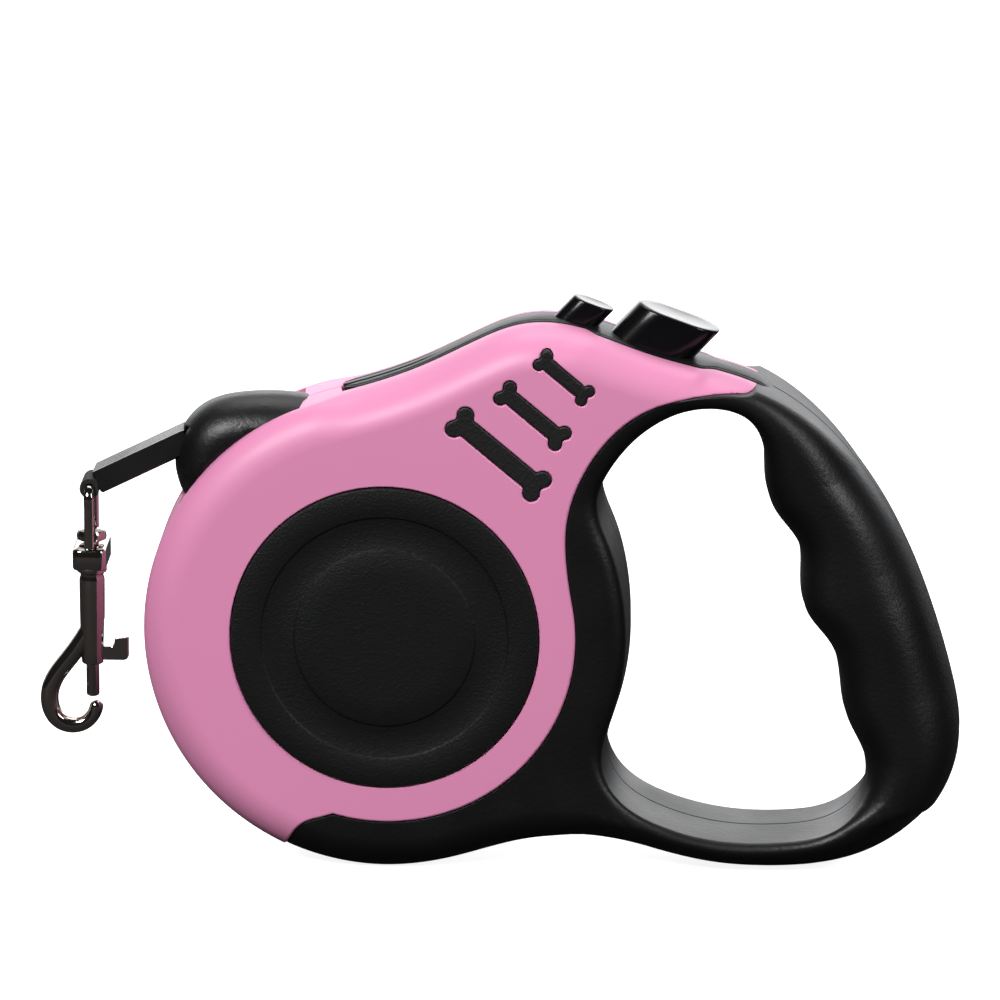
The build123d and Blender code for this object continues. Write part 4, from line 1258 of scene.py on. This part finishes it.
@dataclass(frozen=True)
class Lamp:
    """One rectangular softbox."""

    name: str
    place: tuple[float, float, float]
    size: tuple[float, float]
    watts: float

    def build(self, aim: Vector) -> None:
        """Puts the lamp up, facing the aim."""
        lamp = bpy.data.lights.new(self.name, "AREA")
        lamp.shape = "RECTANGLE"
        lamp.size, lamp.size_y = self.size
        lamp.energy = self.watts
        thing = bpy.data.objects.new(self.name, lamp)
        thing.location = self.place
        thing.rotation_euler = (aim - Vector(self.place)).to_track_quat("-Z", "Y").to_euler()
        thing.visible_camera = False
        bpy.context.scene.collection.objects.link(thing)


@dataclass
class Studio:
    """Camera, softboxes, surround and floor."""

    azimuth: float = 3.0
    elevation: float = 13.6
    distance: float = 2.0
    field_wide: float = 0.19
    shift_right: float = 0.02103
    shift_up: float = 0.02263
    lamps: tuple[Lamp, ...] = (
        Lamp("key_softbox", (-0.7, -1.1, 1.1), (0.6, 0.6), 25.5),
        Lamp("fill_softbox", (1.15, -0.8, 0.8), (0.3, 0.8), 10.0),
        Lamp("top_softbox", (0.05, 0.5, 1.2), (1.0, 0.5), 6.0),
        Lamp("back_softbox", (0.0, 1.5, 0.42), (2.0, 0.5), 7.0),
    )

    def build(self) -> None:
        """Builds the whole studio."""
        self.build_world()
        self.build_floor()
        for lamp in self.lamps:
            lamp.build(Vector((0.0, 0.0, 0.05)))
        self.build_camera()

    def build_world(self) -> None:
        """White to the camera; to everything else, a white backdrop behind and a dark room."""
        world = bpy.context.scene.world or bpy.data.worlds.new("surround")
        bpy.context.scene.world = world
        world.use_nodes = True
        tree = world.node_tree
        tree.nodes.clear()
        path = add_node(tree, "ShaderNodeLightPath")
        shown = add_node(tree, "ShaderNodeBackground", {"in:Color": (1, 1, 1, 1), "in:Strength": 1.0})
        way = add_node(tree, "ShaderNodeSeparateXYZ", {},
                       {"0": add_node(tree, "ShaderNodeTexCoord").outputs["Generated"]})
        behind = add_node(tree, "ShaderNodeMapRange", {"in:From Min": 0.5, "in:From Max": 0.72, "in:To Min": 0.02,
                          "in:To Max": 0.9}, {"Value": way.outputs["Y"]})
        lit = add_node(tree, "ShaderNodeBackground", {"in:Color": linear("#F4F6FA")},
                       {"Strength": behind.outputs["Result"]})
        mix = add_node(tree, "ShaderNodeMixShader", {},
                       {"0": path.outputs["Is Camera Ray"], "1": lit.outputs[0], "2": shown.outputs[0]})
        add_node(tree, "ShaderNodeOutputWorld", {}, {"Surface": mix.outputs[0]})

    def build_floor(self) -> None:
        """A white sweep whose own glow lifts it to the surround, so only contact shadows show."""
        ring = np.array([[x, y, 0.0] for x, y in ((-6, -4), (6, -4), (6, 8), (-6, 8))])
        thing = make_object("floor", ring, [(0, 1, 2, 3)])
        made = bpy.data.materials.new("white_sweep")
        made.use_nodes = True
        shader = made.node_tree.nodes["Principled BSDF"]
        shader.inputs["Roughness"].default_value = 0.9
        shader.inputs["Specular IOR Level"].default_value = 0.1
        shader.inputs["Emission Color"].default_value = (1, 1, 1, 1)
        path = add_node(made.node_tree, "ShaderNodeLightPath")
        seen = path.outputs["Is Camera Ray"]
        glow = add_node(made.node_tree, "ShaderNodeMath", {"operation": "MULTIPLY", "in:1": 0.88}, {"0": seen})
        made.node_tree.links.new(glow.outputs[0], shader.inputs["Emission Strength"])
        tone = add_node(made.node_tree, "ShaderNodeMix", {"data_type": "RGBA", "in:6": linear("#303030"),
                        "in:7": linear("#F2F2F2")}, {"0": seen})
        made.node_tree.links.new(tone.outputs[2], shader.inputs["Base Color"])
        thing.data.materials.append(made)

    def build_camera(self) -> None:
        """A long lens, a little from the right and above."""
        a, e = math.radians(self.azimuth), math.radians(self.elevation)
        right = Vector((math.cos(a), math.sin(a), 0.0))
        up = Vector((-math.sin(e) * math.sin(a), math.sin(e) * math.cos(a), math.cos(e)))
        back = Vector((math.sin(a) * math.cos(e), -math.cos(a) * math.cos(e), math.sin(e)))
        target = Vector((AXIS_X * MM, 0.0, AXIS_Z * MM)) + right * self.shift_right + up * self.shift_up
        lens = bpy.data.cameras.new("camera")
        lens.sensor_width = 36.0
        lens.lens = 36.0 * self.distance / self.field_wide
        lens.clip_end = 50.0
        thing = bpy.data.objects.new("camera", lens)
        thing.location = target + back * self.distance
        thing.rotation_euler = back.to_track_quat("Z", "Y").to_euler()
        bpy.context.scene.collection.objects.link(thing)
        bpy.context.scene.camera = thing


# ---------------------------------------------------------------- main


def main() -> None:
    """Builds the leash and the studio."""
    logging.basicConfig(level=logging.INFO, format="%(name)s %(message)s")
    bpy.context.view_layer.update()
    bpy.context.scene.view_settings.view_transform = "Standard"
    Casing().build()
    Nose().build()
    Button("brake_button", (-8.0, 6.9), 5.1, 4.9, (66.6, 72.7), (78.1, 84.5), (-0.5, 2.0, 41.0)).build()
    Button(
        "lock_button", (-17.7, -10.3), 3.0, 2.8, (60.0, 63.2), (70.5, 73.6), (-14.0, 1.2, 51.0),
        edge=0.4, dish=0.15, flange=0.6,
    ).build()
    tape_end = TapeEnd()
    tape_end.build()
    tape_end.build_tape()
    hook = SnapHook()
    hook.build_hook()
    hook.build_bolt()
    hook.build_eye()
    hook.build_rivet()
    lean = (PRESS_COS, PRESS_SIN)
    for name, across, top, radius, wire, turns, body in (
        ("brake_spring", -0.5, 66.6, 2.8, 0.6, 5.0, "brake"), ("lock_spring", -14.0, 59.9, 1.8, 0.4, 4.0, "lock"),
    ):
        foot = (
            across * PRESS_SIN + SPRING_SEAT * PRESS_COS,
            -across * PRESS_COS + SPRING_SEAT * PRESS_SIN,
        )
        Spring(name, foot, lean, top - SPRING_SEAT, radius, wire, turns, "casing", body).build()
    Spring("bolt_spring", (hook.u, -1.0), (0.0, 1.0), 6.8, 1.1, 0.3, 6.0, "hook_bolt", "hook").build()
    for name, finish in KEPT.items():
        keep_node(name, finish)
    Studio().build()


if __name__ == "__main__":
    main()
